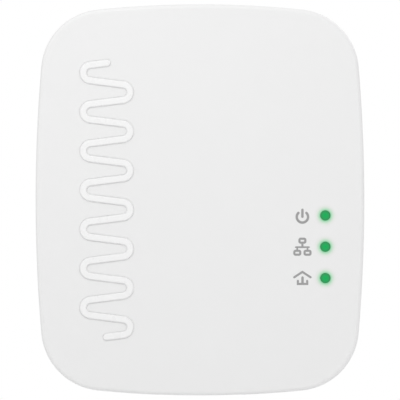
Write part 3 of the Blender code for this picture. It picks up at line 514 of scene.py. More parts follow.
def combine(target, operation, *tools):
    """Apply a Boolean with the closed shapes in each bmesh, one after another."""
    for bm in tools:
        other = solid(f"{target.name}_tool", bm)
        modifier = target.modifiers.new("combine", "BOOLEAN")
        modifier.operation = operation
        modifier.solver = "EXACT"
        modifier.object = other
        bpy.context.view_layer.update()
        ready = target.evaluated_get(bpy.context.evaluated_depsgraph_get())
        result = bpy.data.meshes.new_from_object(ready)
        target.modifiers.clear()
        before = target.data
        target.data = result
        result.name = target.name
        for mesh in (before, other.data):
            bpy.data.meshes.remove(mesh)


def dress(made, slot, *stands_for, look=None, body="case", sharp=30.0):
    """Shade a piece, give it its slot's look or another, and put it on its body for its CAD nodes."""
    mesh = made.data
    mesh.materials.clear()
    mesh.materials.append(LOOKS[look or slot])
    mesh.shade_smooth()
    mesh.set_sharp_from_angle(angle=radians(sharp))
    even = made.modifiers.new("even_shading", "WEIGHTED_NORMAL")
    even.keep_sharp = True
    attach(made, body)
    if stands_for:
        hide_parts(*stands_for)


def box(bm, x, y, z):
    """Add a box between the two values of each axis."""
    size = [high - low for low, high in (x, y, z)]
    middle = [(low + high) / 2 for low, high in (x, y, z)]
    bmesh.ops.create_cube(bm, size=1.0, matrix=Matrix.Translation(middle) @ Matrix.Diagonal((*size, 1.0)))


def loft(bm, rings, closed=False):
    """Join rings of equal length with quads. Both ends are capped, or a closed loft runs in a cycle."""
    rows = [[bm.verts.new(point) for point in ring] for ring in rings]
    count = len(rows[0])
    for low, high in zip(rows, rows[1:] + rows[:1] if closed else rows[1:]):
        for i in range(count):
            j = (i + 1) % count
            bm.faces.new((low[i], low[j], high[j], high[i]))
    if not closed:
        bm.faces.new(rows[0][::-1])
        bm.faces.new(rows[-1])


def at_level(outline, level, along="Y"):
    """An outline of (x, z), (x, y) or (y, z) points, at a level along Y, Z or X."""
    axis = "XYZ".index(along)
    return [(*point[:axis], level, *point[axis:]) for point in outline]


def stack(bm, sections, along="Y", closed=False):
    """Loft (outline, level) sections along an axis."""
    loft(bm, [at_level(outline, level, along) for outline, level in sections], closed)


def stacked(sections, along="Y", closed=False):
    bm = bmesh.new()
    stack(bm, sections, along, closed)
    return bm


def lofted(rings):
    bm = bmesh.new()
    loft(bm, rings)
    return bm


def grown(outline, steps):
    """Sections of an outline that is grown, or moved in, by a distance at each level."""
    return [(outline(distance), level) for distance, level in steps]


def prism(bm, outline, start, end):
    stack(bm, ((outline, start), (outline, end)))


def polar(centre, radius, angle):
    return centre[0] + radius * cos(angle), centre[1] + radius * sin(angle)


def arc(centre, radius, start, stop, steps=8):
    return [polar(centre, radius, start + (stop - start) * step / steps) for step in range(steps + 1)]


def circle(centre, radius, sides=ROUND_SIDES):
    return arc(centre, radius, 0.0, 2 * pi, sides)[:-1]


def turned(profile, centre=(0.0, 0.0), sides=ROUND_SIDES):
    """Sections of a profile of (radius, level) points that is turned about an axis."""
    return [(circle(centre, radius, sides), level) for radius, level in profile]


def rounded(corners, radius, steps=8):
    """Round the corners of a convex anticlockwise outline."""
    points = []
    for i, corner in enumerate(corners):
        before, after = corners[i - 1], corners[(i + 1) % len(corners)]
        into = atan2(corner[1] - before[1], corner[0] - before[0])
        out = atan2(after[1] - corner[1], after[0] - corner[0])
        turn = (out - into) % (2 * pi)
        reach = radius * tan(turn / 2)
        middle = polar(polar(corner, -reach, into), radius, into + QUARTER)
        points += arc(middle, radius, into - QUARTER, into - QUARTER + turn, steps)
    return points


def rectangle(half_width, half_height, centre=(0.0, 0.0)):
    signs = ((-1, -1), (1, -1), (1, 1), (-1, 1))
    return [(centre[0] + x * half_width, centre[1] + y * half_height) for x, y in signs]


def node_rectangle(node, grow, axes="xy"):
    """A CAD node's box in two axes, grown by a distance all round."""
    low, high = node_box(node)
    sides = [(getattr(low, axis), getattr(high, axis)) for axis in axes]
    halves = [(end - start) / 2 + grow for start, end in sides]
    return rectangle(*halves, [(start + end) / 2 for start, end in sides])


def quarter_arc(radius, steps=EDGE_STEPS):
    """(run, rise) pairs round a quarter circle, from (0, radius) to (radius, 0)."""
    angles = [QUARTER * step / steps for step in range(steps + 1)]
    return [(radius * (1 - cos(a)), radius * (1 - sin(a))) for a in angles]


# ---- case surface


def corner_centre():
    """Centre of the upper right corner arc, which touches both bowed sides."""
    reach_side = SIDE_BOW_RADIUS - CORNER_RADIUS
    reach_end = END_BOW_RADIUS - CORNER_RADIUS
    span = hypot(SIDE_CENTRE, END_CENTRE)
    along = (reach_side**2 - reach_end**2 + span**2) / (2 * span)
    across = sqrt(reach_side**2 - along**2)
    toward = (-SIDE_CENTRE / span, END_CENTRE / span)
    x = SIDE_CENTRE + along * toward[0] - across * toward[1]
    return x, along * toward[1] + across * toward[0]


def quarter_ring(inset):
    """Points (x, z) of the case outline from the right middle to the top middle, moved in by inset."""
    cx, cz = corner_centre()
    side_angle = atan2(cz, cx - SIDE_CENTRE)
    end_angle = atan2(cz - END_CENTRE, cx)
    arcs = (
        ((SIDE_CENTRE, 0.0), SIDE_BOW_RADIUS, 0.0, side_angle),
        ((cx, cz), CORNER_RADIUS, side_angle, end_angle),
        ((0.0, END_CENTRE), END_BOW_RADIUS, end_angle, QUARTER),
    )
    points = []
    for (centre, radius, start, stop), steps in zip(arcs, RING_STEPS):
        points += arc(centre, radius - inset, start, stop, steps)[:-1]
    return points


def case_ring(inset):
    """The whole outline, anticlockwise seen from the front."""
    quarter = quarter_ring(inset)
    top = (0.0, CASE_HALF_HEIGHT - inset)
    upper = quarter + [top] + [(-x, z) for x, z in reversed(quarter[1:])]
    return upper + [(-x, -z) for x, z in upper]


def dome_y(x, z):
    """The front face, which bows gently towards its edges."""
    return FRONT_Y + DOME * ((x / CASE_HALF_WIDTH) ** 2 + (z / CASE_HALF_HEIGHT) ** 2)


def domed_ring(inset, below, share=1.0):
    """A ring that follows the front face at a depth below it, drawn in to a share of its size."""
    points = [(share * x, share * z) for x, z in case_ring(inset)]
    return [(x, dome_y(x, z) + below, z) for x, z in points]


def inner_steps(floor_y, way, end_y):
    """(inset, y) round a shell's inside: its floor's rounded corner and its wall, up to end_y."""
    corner = quarter_arc(INSIDE_RADIUS, 5)
    return [(WALL + rise, floor_y + way * run) for run, rise in corner] + [(WALL, end_y)]


# ---- front shell


def front_rings():
    """Rings from the inner floor, over the tongue and the groove, to the outer face."""
    draft = DRAFT * (PARTING_Y - FRONT_Y - FRONT_EDGE_RADIUS)
    groove_y = PARTING_Y - GROOVE_WIDTH
    steps = inner_steps(FLOOR_INSIDE_Y, 1.0, TONGUE_TIP_Y - BREAK)
    steps += [(WALL - BREAK, TONGUE_TIP_Y), (TONGUE_INSET + BREAK, TONGUE_TIP_Y)]
    steps += [(TONGUE_INSET, TONGUE_TIP_Y - BREAK), (TONGUE_INSET, PARTING_Y)]
    steps += [(GROOVE_DEPTH, PARTING_Y), (GROOVE_DEPTH, groove_y)]
    steps += [(rise, groove_y - run) for run, rise in quarter_arc(BREAK, 4)]
    edge = [(draft + run, rise) for run, rise in quarter_arc(FRONT_EDGE_RADIUS)]
    face = [(inset, 0.0) for inset in FACE_INSETS]
    face += [(FACE_INSETS[-1], 0.0, share) for share in FACE_SHARES]
    flat = [at_level(case_ring(inset), y) for inset, y in steps]
    return flat + [domed_ring(*step) for step in edge + face]


def screw_posts(groups, floor_y, sunk_y):
    """Drafted posts that stand on a shell's floor, with a flared foot sunk into it."""
    way = copysign(1.0, floor_y - sunk_y)
    bm = bmesh.new()
    for places, radius, end_y, edge in groups:
        profile = (
            (radius + POST_FLARE, sunk_y),
            (radius + POST_DRAFT, floor_y + way * POST_FOOT),
            (radius, end_y - way * edge),
            (radius - edge, end_y),
        )
        for place in places:
            stack(bm, turned(profile, place))
    return bm


def bores(bm, places, radius, start, end):
    for place in places:
        prism(bm, circle(place, radius, BORE_SIDES), start, end)


def port_outline(grow):
    half_depth = (PORT_Y[1] - PORT_Y[0]) / 2 + grow
    corners = rectangle(PORT_HALF_WIDTH + grow, half_depth, (0.0, sum(PORT_Y) / 2))
    return rounded(corners, PORT_CORNER_RADIUS + grow)


def tapered_cut(bm, outline, wall_z, end_z):
    """Cut up through the bottom wall, with a small chamfer at its outer face."""
    steps = ((0.5, wall_z - 0.5), (0.25, wall_z), (0.0, wall_z + 0.25), (0.0, end_z))
    stack(bm, grown(outline, steps), "Z")


def pill(grow, radius):
    """The pairing button's outline in X and Y, grown by a distance."""
    half_width, half_height = (size / 2 + grow for size in BUTTON_CAP)
    return rounded(rectangle(half_width, half_height, (BUTTON_X, BUTTON_Y)), radius)


def button_outline(grow):
    return pill(BUTTON_GAP + grow, BUTTON_HOLE_RADIUS + grow)


def bottom_z(x):
    """Height of the case's bottom wall at x."""
    return -END_CENTRE - sqrt(END_BOW_RADIUS**2 - x * x)


def front_cutters():
    bm = bmesh.new()
    bores(bm, CASE_SCREW_AT, CASE_BORE_RADIUS, -36.0, -24.6)
    bores(bm, MAIN_SCREW_AT, BOARD_BORE_RADIUS, FLOOR_INSIDE_Y + 0.7, -39.8)
    for lamp in LIGHT_AT:
        face = dome_y(lamp.x, lamp.z)
        steps = (
            (LIGHT_HOLE_RADIUS + 0.2, face - 0.3),
            (LIGHT_HOLE_RADIUS + 0.05, face),
            (LIGHT_HOLE_RADIUS, face + 0.07),
            (LIGHT_HOLE_RADIUS, -42.5),
        )
        stack(bm, turned(steps, (lamp.x, lamp.z)))
    tapered_cut(bm, port_outline, bottom_z(PORT_HALF_WIDTH / 2), JACK_MOUTH_Z + 0.5)
    tapered_cut(bm, button_outline, bottom_z(BUTTON_X), BUTTON_HOLE_END_Z)
    wall = bottom_z(RESET_X)
    steps = ((1.5, wall - 0.2), (1.3, wall), (RESET_HOLE_RADIUS, wall + 0.5))
    steps += ((RESET_HOLE_RADIUS, BUTTON_HOLE_END_Z),)
    stack(bm, turned(steps, (RESET_X, BUTTON_Y)), "Z")
    return bm


def make_front_shell():
    """The shell, with its posts and holes, and a shallow channel a little wider than the wave."""
    shell = solid("front_shell", lofted(front_rings()))
    combine(shell, "UNION", screw_posts(FRONT_POSTS, FLOOR_INSIDE_Y, FLOOR_INSIDE_Y - 0.5))
    reach = WAVE_HALF_STROKE + MOAT_WIDTH
    moat = ((-reach, 0.3), (-reach, -MOAT_DEPTH), (reach, -MOAT_DEPTH), (reach, 0.3))
    combine(shell, "DIFFERENCE", front_cutters(), along_wave(moat, wave_stations(MOAT_WIDTH)))
    dress(shell, "white_case", "front_cover", look="front_plastic_painted_glow")


def wave_path():
    """(point, unit direction) pairs in X and Z along the wave's centre line, from its lower end."""
    rise = 2 * WAVE_HALF_LENGTH / WAVE_BENDS
    reach = WAVE_AMPLITUDE - WAVE_BEND_RADIUS
    lean = asin(2 * WAVE_BEND_RADIUS / hypot(rise, 2 * reach))
    leftward = atan2(rise, -2 * reach) + lean
    path = [((WAVE_X, -WAVE_HALF_LENGTH), (-cos(leftward), sin(leftward)))]
    for bend in range(WAVE_BENDS):
        side = 1 if bend % 2 == 0 else -1
        x = WAVE_X + side * reach
        z = -WAVE_HALF_LENGTH + (bend + 0.5) * rise
        for step in range(WAVE_BEND_STEPS + 1):
            angle = pi - leftward + (2 * leftward - pi) * step / WAVE_BEND_STEPS
            around = (side * sin(angle), -cos(angle))
            point = (x + WAVE_BEND_RADIUS * around[0], z + WAVE_BEND_RADIUS * around[1])
            path.append((point, (side * cos(angle), sin(angle))))
    return path + [((WAVE_X, WAVE_HALF_LENGTH), path[-1][1])]


def round_end(point, way, sign, spread_by):
    """Stations of a round end, from the full stroke outwards."""
    found = []
    for degrees in (12, 24, 36, 48, 60, 70, 78, 85):
        angle = radians(degrees)
        on = sign * (WAVE_HALF_STROKE + spread_by) * sin(angle)
        found.append(((point[0] + on * way[0], point[1] + on * way[1]), way, cos(angle)))
    return found


def along_wave(profile, stations):
    """Lay a profile of (across, height) points across the wave at each station, on the domed front."""
    rings = []
    for point, way, width in stations:
        ring = []
        for aside, height in profile:
            x, z = point[0] + aside * width * way[1], point[1] - aside * width * way[0]
            ring.append((x, dome_y(x, z) - height, z))
        rings.append(ring)
    return lofted(rings)


def wave_profile():
    """A small fillet at the wave's foot, a drafted side and a rounded top edge."""
    half = [(WAVE_HALF_STROKE + 0.05, -0.25), (WAVE_HALF_STROKE, 0.0), (WAVE_HALF_STROKE - 0.07, 0.06)]
    shoulder = WAVE_HALF_STROKE - 0.12
    half += [(shoulder - run, WAVE_HEIGHT - rise) for run, rise in quarter_arc(WAVE_EDGE_RADIUS, 5)]
    half += [(WAVE_HALF_STROKE * 0.4, WAVE_HEIGHT + 0.01)]
    return [(-across, height) for across, height in half] + half[::-1]


def wave_stations(spread_by=0.0):
    """(point, direction, share of the full width) from end to end, with round ends."""
    path = wave_path()
    stations = [(point, way, 1.0) for point, way in path]
    return round_end(*path[0], -1, spread_by)[::-1] + stations + round_end(*path[-1], 1, spread_by)


def make_front_wave():
    wave = solid("front_wave", along_wave(wave_profile(), wave_stations()))
    dress(wave, "white_case", look="wave_plastic", sharp=40.0)


# ---- rear shell


def boss_outline(inset):
    """The boss moved in by inset: an octagon (x, z) with 45 degree chamfers and round corners."""
    half_width = BOSS_WIDTH / 2 - inset
    half_height = BOSS_HEIGHT / 2 - inset
    cut = BOSS_CHAMFER - (2 - sqrt(2)) * inset
    right = [(half_width - cut, -half_height), (half_width, -half_height + cut)]
    right += [(x, -z) for x, z in right[::-1]]
    return rounded(right + [(-x, z) for x, z in right[::-1]], max(BOSS_CORNER_RADIUS - inset, 0.6))


def rear_body():
    """The rear shell's body, from its inner floor, over the rim, to its outer face."""
    draft = DRAFT * (REAR_Y - PARTING_Y - REAR_EDGE_RADIUS)
    steps = inner_steps(REAR_INSIDE_Y, -1.0, REBATE_Y)
    steps += [(REBATE_INSET, REBATE_Y), (REBATE_INSET, REAR_RIM_Y + BREAK)]
    steps += [(REBATE_INSET - BREAK, REAR_RIM_Y)]
    steps += [(rise, REAR_RIM_Y + run) for run, rise in quarter_arc(BREAK, 4)]
    steps += [(draft + run, REAR_Y - rise) for run, rise in quarter_arc(REAR_EDGE_RADIUS)]
    return stacked(grown(case_ring, steps + [(draft + REAR_EDGE_RADIUS + 0.8, REAR_Y)]))


def boss_body():
    """The plug boss, with a fillet at its root and a rounded end."""
    steps = [(-0.72, REAR_Y - 0.6)]
    steps += [(-rise, REAR_Y + run) for run, rise in quarter_arc(BOSS_FILLET) if run > 0.02]
    steps += [(BOSS_DRAFT + run, -rise) for run, rise in quarter_arc(BOSS_EDGE_RADIUS, 6)]
    return stacked(grown(boss_outline, steps))


def side_x(z):
    """Half width of the case's side wall at z."""
    return SIDE_CENTRE + sqrt(SIDE_BOW_RADIUS**2 - z * z)


def vent_cut(bm, centre, wall, along):
    """One slot with round ends through a wall, with a chamfer outside. wall is signed by its side."""
    outward = copysign(1.0, wall)
    middle_y = sum(VENT_Y) / 2
    half_length = (VENT_Y[1] - VENT_Y[0]) / 2
    sections = []
    for grow, level in VENT_CUT:
        half_width = VENT_WIDTH / 2 + grow
        if along == "X":
            corners = rectangle(half_length + grow, half_width, (middle_y, centre))
        else:
            corners = rectangle(half_width, half_length + grow, (centre, middle_y))
        sections.append((rounded(corners, half_width - 0.01), wall + outward * level))
    stack(bm, sections, along)


def vent_cutters(bm):
    taper = DRAFT * (VENT_Y[0] - PARTING_Y)
    for index in range(SIDE_VENTS):
        z = (index - (SIDE_VENTS - 1) / 2) * VENT_PITCH
        for side in (-1, 1):
            vent_cut(bm, z, side * (side_x(z) - taper), "X")
    for index in range(TOP_VENTS):
        x = (index - (TOP_VENTS - 1) / 2) * VENT_PITCH
        vent_cut(bm, x, -bottom_z(x) - taper, "Z")


def label_outline(margin):
    return rounded(node_rectangle("rating_label", margin, "xz"), LABEL_CORNER_RADIUS + margin)


def rear_cutters():
    bm = bmesh.new()
    for place in CASE_SCREW_AT:
        steps = ((2.2, -22.5), (2.2, REAR_Y - 0.25), (2.45, REAR_Y), (2.8, REAR_Y + 0.35))
        stack(bm, turned(steps, place))
    bores(bm, POWER_SCREW_AT, BOARD_BORE_RADIUS, -22.6, REAR_INSIDE_Y - 0.4)
    vent_cutters(bm)
    tapered_cut(bm, port_outline, bottom_z(PORT_HALF_WIDTH / 2), JACK_MOUTH_Z + 0.5)
    prism(bm, label_outline(0.2), REAR_Y - 0.25, REAR_Y + 1)
    return bm


def boss_cavity():
    inner = -BOSS_END_WALL
    steps = ((BOSS_WALL, REAR_INSIDE_Y - 1), (BOSS_WALL + 0.1, inner - 0.5), (BOSS_WALL + 0.6, inner))
    return stacked(grown(boss_outline, steps))


def through_cutters():
    bm = bmesh.new()
    bores(bm, CASE_SCREW_AT, CASE_BORE_RADIUS, -26.2, -22.0)
    hole = SLEEVE_RADIUS + SLEEVE_CLEARANCE
    steps = ((hole, -BOSS_END_WALL - 0.5), (hole, -0.15), (hole + 0.15, 0.0), (hole + 0.46, 0.31))
    for side in (-1, 1):
        stack(bm, turned(steps, (side * PIN_SPACING / 2, 0.0)))
    return bm


def make_rear_shell():
    shell = solid("rear_shell", rear_body())
    combine(shell, "UNION", boss_body(), screw_posts(REAR_POSTS, REAR_INSIDE_Y, REAR_INSIDE_Y + 0.7))
    combine(shell, "DIFFERENCE", boss_cavity(), rear_cutters(), through_cutters())
    dress(shell, "white_case", "rear_cover")


# ---- lamps and icons


def make_lamp_guide():
    """A bar with a round rod for each lamp, whose domed end fills its window."""
    middle = LIGHT_AT[1]
    reach = LIGHT_AT[0].z - middle.z + GUIDE_BAR_OVERHANG
    corners = rectangle(GUIDE_BAR_HALF_WIDTH, reach, (middle.x, middle.z))
    bar = rounded(corners, GUIDE_BAR_HALF_WIDTH - 0.05)
    guide = solid("lamp_guide", stacked([(bar, y) for y in GUIDE_BAR_Y]))
    rods = bmesh.new()
    for lamp in LIGHT_AT:
        face = dome_y(lamp.x, lamp.z) + 0.01
        crown = [(LIGHT_RADIUS * share, face - LIGHT_CROWN * (1 - share**2)) for share in CROWN_SHARES]
        edge = [(LIGHT_RADIUS - run, face + rise) for run, rise in quarter_arc(LIGHT_EDGE_RADIUS, 4)]
        rod = crown + edge[::-1] + [(LIGHT_RADIUS, ROD_END_Y)]
        stack(rods, turned(rod, (lamp.x, lamp.z)))
    combine(guide, "UNION", rods)
    dress(guide, "clear_guide", "light_guide")


def stroke_sides(points, half_width, closed):
    """The points moved half a width to the right and to the left of the way along them."""
    right, left = [], []
    for i, point in enumerate(points):
        before = points[i - 1] if closed or i else point
        after = points[(i + 1) % len(points)] if closed or i + 1 < len(points) else point
        into = (Vector(point) - Vector(before)).normalized()
        out = (Vector(after) - Vector(point)).normalized()
        along = (into + out).normalized()
        across = Vector((along.y, -along.x)) * half_width / max(along.dot(into), along.dot(out))
        right.append(Vector(point) + across)
        left.append(Vector(point) - across)
    return right, left


def stroke(points, width, closed):
    """A printed stroke along points: a closed ring, or a line with round ends."""
    right, left = stroke_sides(points, width / 2, closed)
    if closed:
        cycle = ((right, -INK_RISE), (right, INK_SINK), (left, INK_SINK), (left, -INK_RISE))
        return stacked(cycle, closed=True)
    caps = []
    for end, beyond in ((points[-1], points[-2]), (points[0], points[1])):
        heading = atan2(end[1] - beyond[1], end[0] - beyond[0])
        caps.append(arc(end, width / 2, heading - QUARTER, heading + QUARTER)[1:-1])
    outline = right + caps[0] + left[::-1] + caps[1]
    return stacked([(outline, y) for y in (-INK_RISE, INK_SINK)])


# Each printed icon's strokes, about its centre: points, line width and whether it closes on itself.
ICONS = {
    "power": (
        (arc((0.0, -0.24), 0.95, radians(135), radians(405), 40), 0.41, False),
        ([(0.0, 0.95), (0.0, -0.21)], 0.41, False),
    ),
    "network": (
        (rounded(rectangle(0.49, 0.33, (0.0, 1.02)), 0.2), 0.36, True),
        (rounded(rectangle(0.49, 0.33, (-0.86, -1.0)), 0.2), 0.36, True),
        (rounded(rectangle(0.49, 0.33, (0.86, -1.0)), 0.2), 0.36, True),
        ([(0.0, 0.6), (0.0, 0.0)], 0.34, False),
        ([(-1.1, -0.07), (1.1, -0.07)], 0.28, False),
        ([(-0.86, -0.1), (-0.86, -0.62)], 0.28, False),
        ([(0.86, -0.1), (0.86, -0.62)], 0.28, False),
    ),
    "house": (
        ([(-1.37, 0.15), (0.0, 1.05), (1.37, 0.15)], 0.36, False),
        ([(-0.76, -0.46), (-0.76, -0.97), (0.8, -0.97), (0.8, -0.46)], 0.36, False),
        ([(0.02, 0.1), (0.02, -0.9)], 0.41, False),
    ),
}


def make_icons():
    """Thin printed shapes that follow the domed front, one to the left of each lamp."""
    for (name, strokes), lamp in zip(ICONS.items(), LIGHT_AT):
        inked = []
        for points, width, closed in strokes:
            inked.append(stroke([(ICON_X + x, lamp.z + z) for x, z in points], width, closed))
        icon = solid(f"icon_{name}", inked[0])
        combine(icon, "UNION", *inked[1:])
        printed = bmesh.new()
        printed.from_mesh(icon.data)
        parts = {"verts": printed.verts, "edges": printed.edges}
        bmesh.ops.dissolve_limit(printed, angle_limit=FLAT_ANGLE, **parts)
        for vertex in printed.verts:
            vertex.co.y += dome_y(vertex.co.x / MM, vertex.co.z / MM) * MM
        printed.to_mesh(icon.data)
        printed.free()
        dress(icon, "white_case", look="icon_ink", sharp=60.0)


# ---- plug and label


def pin_profile():
    """Radius and level along a pin: tail, flange, shank in its sleeve, and bare end with a round tip."""
    back, front = PIN_FLANGE_Y
    shoulder = SLEEVE_LENGTH + 0.1
    flange_edge = PIN_FLANGE_RADIUS - PIN_EDGE
    profile = [(PIN_TAIL_RADIUS - 0.3, PIN_TAIL_Y), (PIN_TAIL_RADIUS, PIN_TAIL_Y + 0.3)]
    profile += [(PIN_TAIL_RADIUS, back), (flange_edge, back), (PIN_FLANGE_RADIUS, back + PIN_EDGE)]
    profile += [(PIN_FLANGE_RADIUS, front - PIN_EDGE), (flange_edge, front), (PIN_SHANK_RADIUS, front)]
    profile += [(PIN_SHANK_RADIUS, shoulder), (PIN_RADIUS - 0.12, shoulder), (PIN_RADIUS, shoulder + 0.12)]
    for step in range(PIN_TIP_STEPS):
        angle = QUARTER * step / PIN_TIP_STEPS
        level = PIN_LENGTH - PIN_TIP_LENGTH * (1 - sin(angle))
        profile.append((PIN_RADIUS * cos(angle) ** 0.8, level))
    return profile


def sleeve_profile():
    """The insulating sleeve, with a rounded outer end."""
    start = -BOSS_END_WALL - 0.1
    edge = quarter_arc(SLEEVE_EDGE_RADIUS, 4)
    end = [(SLEEVE_RADIUS - run, SLEEVE_LENGTH - rise) for run, rise in edge]
    return [(SLEEVE_RADIUS, start)] + end + [(SLEEVE_BORE, SLEEVE_LENGTH), (SLEEVE_BORE, start)]


def make_pins():
    """The pins lean towards each other, from their spacing at the boss to the one at their tips."""
    lean = atan2((PIN_SPACING - PIN_TIP_SPACING) / 2, PIN_LENGTH)
    for name, side in (("live", -1), ("neutral", 1)):
        foot = Matrix.Translation((side * PIN_SPACING / 2, 0.0, 0.0))
        place = foot @ Matrix.Rotation(side * lean, 4, "Z")
        pin = (f"pin_{name}", "nickel_pin", pin_profile(), False)
        sleeve = (f"pin_sleeve_{name}", "white_sleeve", sleeve_profile(), True)
        for label, slot, profile, closed in (pin, sleeve):
            bm = stacked(turned(profile), closed=closed)
            bmesh.ops.transform(bm, matrix=place, verts=bm.verts)
            dress(solid(f"turned_{label}", bm), slot, label)


def make_label():
    """A blank label with round corners and a soft outer edge."""
    low, high = node_box("rating_label")
    steps = ((0.0, low.y), (0.0, high.y - 0.04), (-0.04, high.y))
    label = stacked(grown(label_outline, steps))
    dress(solid("blank_label", label), "label_film", "rating_label")


def make_label_rules():
    """A thin printed frame and two rules that divide the blank label."""
    low, high = node_box("rating_label")
    outside, inside = (label_outline(-inset) for inset in LABEL_FRAME_INSETS)
    back, front = high.y - 0.01, high.y + 0.012
    bm = stacked(((outside, back), (outside, front), (inside, front), (inside, back)), closed=True)
    for share in LABEL_RULES_AT:
        z = low.z + (high.z - low.z) * share
        box(bm, (low.x + 0.95, high.x - 0.95), (back, front), (z - RULE_HALF_WIDTH, z + RULE_HALF_WIDTH))
    dress(solid("label_rules", bm), "label_film", look="icon_ink", sharp=60.0)


# ---- network jack


def cavity_outline(grow):
    """The plug's way in, in X and Y, with the two steps of its latch notch."""
    near, far = CAVITY_Y[0] - grow, CAVITY_Y[1] + grow
    wide = CAVITY_HALF_WIDTH + grow
    right = [(wide, far), (wide, near)] + [(x + grow, near - depth) for x, depth in LATCH_STEPS]
    return right + [(-x, y) for x, y in right[::-1]]


def make_jack():
    """The housing, with its cavity, a slot for the springs and a comb between them."""
    low, high = node_box("rj45_housing")
    steps = ((0.35, low.z), (0.0, low.z + 0.35), (0.0, high.z - 0.3), (0.3, high.z))
    body = []
    for inset, z in steps:
        body.append((rounded(node_rectangle("rj45_housing", -inset), JACK_CORNER_RADIUS, 4), z))
    jack = solid("jack_housing", stacked(body, "Z"))
    steps = ((0.3, low.z - 0.05), (0.0, low.z + 0.25), (0.0, CAVITY_END_Z))
    slot = bmesh.new()
    wide = (-SPRING_SLOT_HALF_WIDTH, SPRING_SLOT_HALF_WIDTH)
    box(slot, wide, SPRING_SLOT_Y, (CAVITY_END_Z - 0.5, high.z + 1))
    combine(jack, "DIFFERENCE", stacked(grown(cavity_outline, steps), "Z"), slot)
    comb = bmesh.new()
    for index in range(CONTACTS + 1):
        x = (index - CONTACTS / 2) * CONTACT_PITCH
        tooth = (x - COMB_HALF_WIDTH, x + COMB_HALF_WIDTH)
        box(comb, tooth, (COMB_FRONT_Y, CAVITY_Y[1] + 0.2), (low.z + 1.0, COMB_END_Z))
    combine(jack, "UNION", comb)
    dress(jack, "jack_black", "rj45_housing")


def bent_path(corners, radius, steps=6):
    """A path through corner points with each inner corner turned into an arc."""
    points = [Vector(corners[0])]
    for before, corner, after in zip(corners, corners[1:], corners[2:]):
        corner = Vector(corner)
        back, on = (Vector(before) - corner), (Vector(after) - corner)
        reach = min(radius, back.length * 0.45, on.length * 0.45)
        start, stop = corner + back.normalized() * reach, corner + on.normalized() * reach
        for step in range(steps + 1):
            t = step / steps
            points.append(start * (1 - t) ** 2 + corner * (2 * t * (1 - t)) + stop * t**2)
    return points + [Vector(corners[-1])]


def wire(path, x, radius, sides=12):
    """A round wire in the plane at x, along a path of (y, z) points."""
    rings = []
    for i, point in enumerate(path):
        way = (path[min(i + 1, len(path) - 1)] - path[max(i - 1, 0)]).normalized()
        around = circle((0.0, 0.0), radius, sides)
        rings.append([(x + b, point.x - a * way.y, point.y + a * way.x) for a, b in around])
    return lofted(rings)


def make_contacts():
    """Eight spring wires, from a foot behind the jack to a free end inside its cavity."""
    foot = (node_box("rj45_contact_1")[0].y, CONTACT_FOOT_Z)
    path = bent_path((foot, *CONTACT_BENDS), CONTACT_BEND_RADIUS)
    for index in range(CONTACTS):
        name = f"rj45_contact_{index + 1}"
        bent = wire(path, (index - (CONTACTS - 1) / 2) * CONTACT_PITCH, CONTACT_RADIUS)
        dress(solid(f"wire_{name}", bent), "contact_gold", name)


# ---- buttons and screws


def make_pair_button():
    """The pill-shaped cap with a rounded edge and a ring cut in its face, its flange and its stem."""
    face = node_box("pair_button")[0].z
    centre = (BUTTON_X, BUTTON_Y)
    steps = [(inset, rise) for inset, rise in BUTTON_CROWN]
    steps += [(run, BUTTON_CROWN_HEIGHT + rise) for run, rise in quarter_arc(BUTTON_EDGE_RADIUS, 6)[::-1]]
    steps += [(0.0, BUTTON_FLANGE_Z[0] - face)]
    sections = []
    for inset, rise in steps:
        sections.append((pill(-inset, max(BUTTON_CORNER_RADIUS - inset, 0.2)), face + rise))
    flange = rounded(rectangle(3.4, 2.1, centre), 0.6)
    stem = rounded(rectangle(1.1, 1.1, centre), 0.2)
    sections += [(flange, z) for z in BUTTON_FLANGE_Z]
    sections += [(stem, z) for z in (BUTTON_FLANGE_Z[1], BUTTON_STEM_END_Z)]
    button = solid("pair_cap", stacked(sections, "Z"))
    inner, outer = BUTTON_MARK_RADII
    bottom, top = face - 0.05, face + BUTTON_MARK_DEPTH
    mark = ((inner, bottom), (inner, top), (outer, top), (outer, bottom))
    combine(button, "DIFFERENCE", stacked(turned(mark, centre), "Z", closed=True))
    dress(button, "white_case", "pair_button", body="pair_button")


def make_plungers():
    """The two switch plungers, with rounded tips."""
    for switch in ("pair", "reset"):
        name, body = f"{switch}_switch_plunger", f"{switch}_plunger"
        low, high = node_box(name)
        sections = []
        for run, rise in quarter_arc(PLUNGER_EDGE_RADIUS, 4)[::-1]:
            outline = rounded(node_rectangle(name, -run), PLUNGER_CORNER_RADIUS - run, 4)
            sections.append((outline, low.z + rise))
        sections.append((outline, high.z))
        plunger = solid(f"tipped_{name}", stacked(sections, "Z"))
        dress(plunger, "plunger_black", name, body=body)


def screw_profile(head_radius, outer, seat, tip, core, crest):
    """A pan head with a round rim, then a threaded shank with a point; levels run along Y."""
    inward = copysign(1.0, tip - seat)
    depth = abs(seat - outer)
    profile = [(head_radius * share, outer + inward * depth * sunk) for share, sunk in SCREW_HEAD]
    profile += [(head_radius, seat - inward * 0.08), (head_radius - 0.08, seat), (core, seat)]
    step = inward * THREAD_PITCH
    level = seat + step
    while (tip - level) * inward > POINT_LENGTH:
        for share, height in THREAD_SHAPE:
            profile.append((core + (crest - core) * height, level + step * share))
        level += step
    return profile + [(core, level), (core * 0.2, tip)]


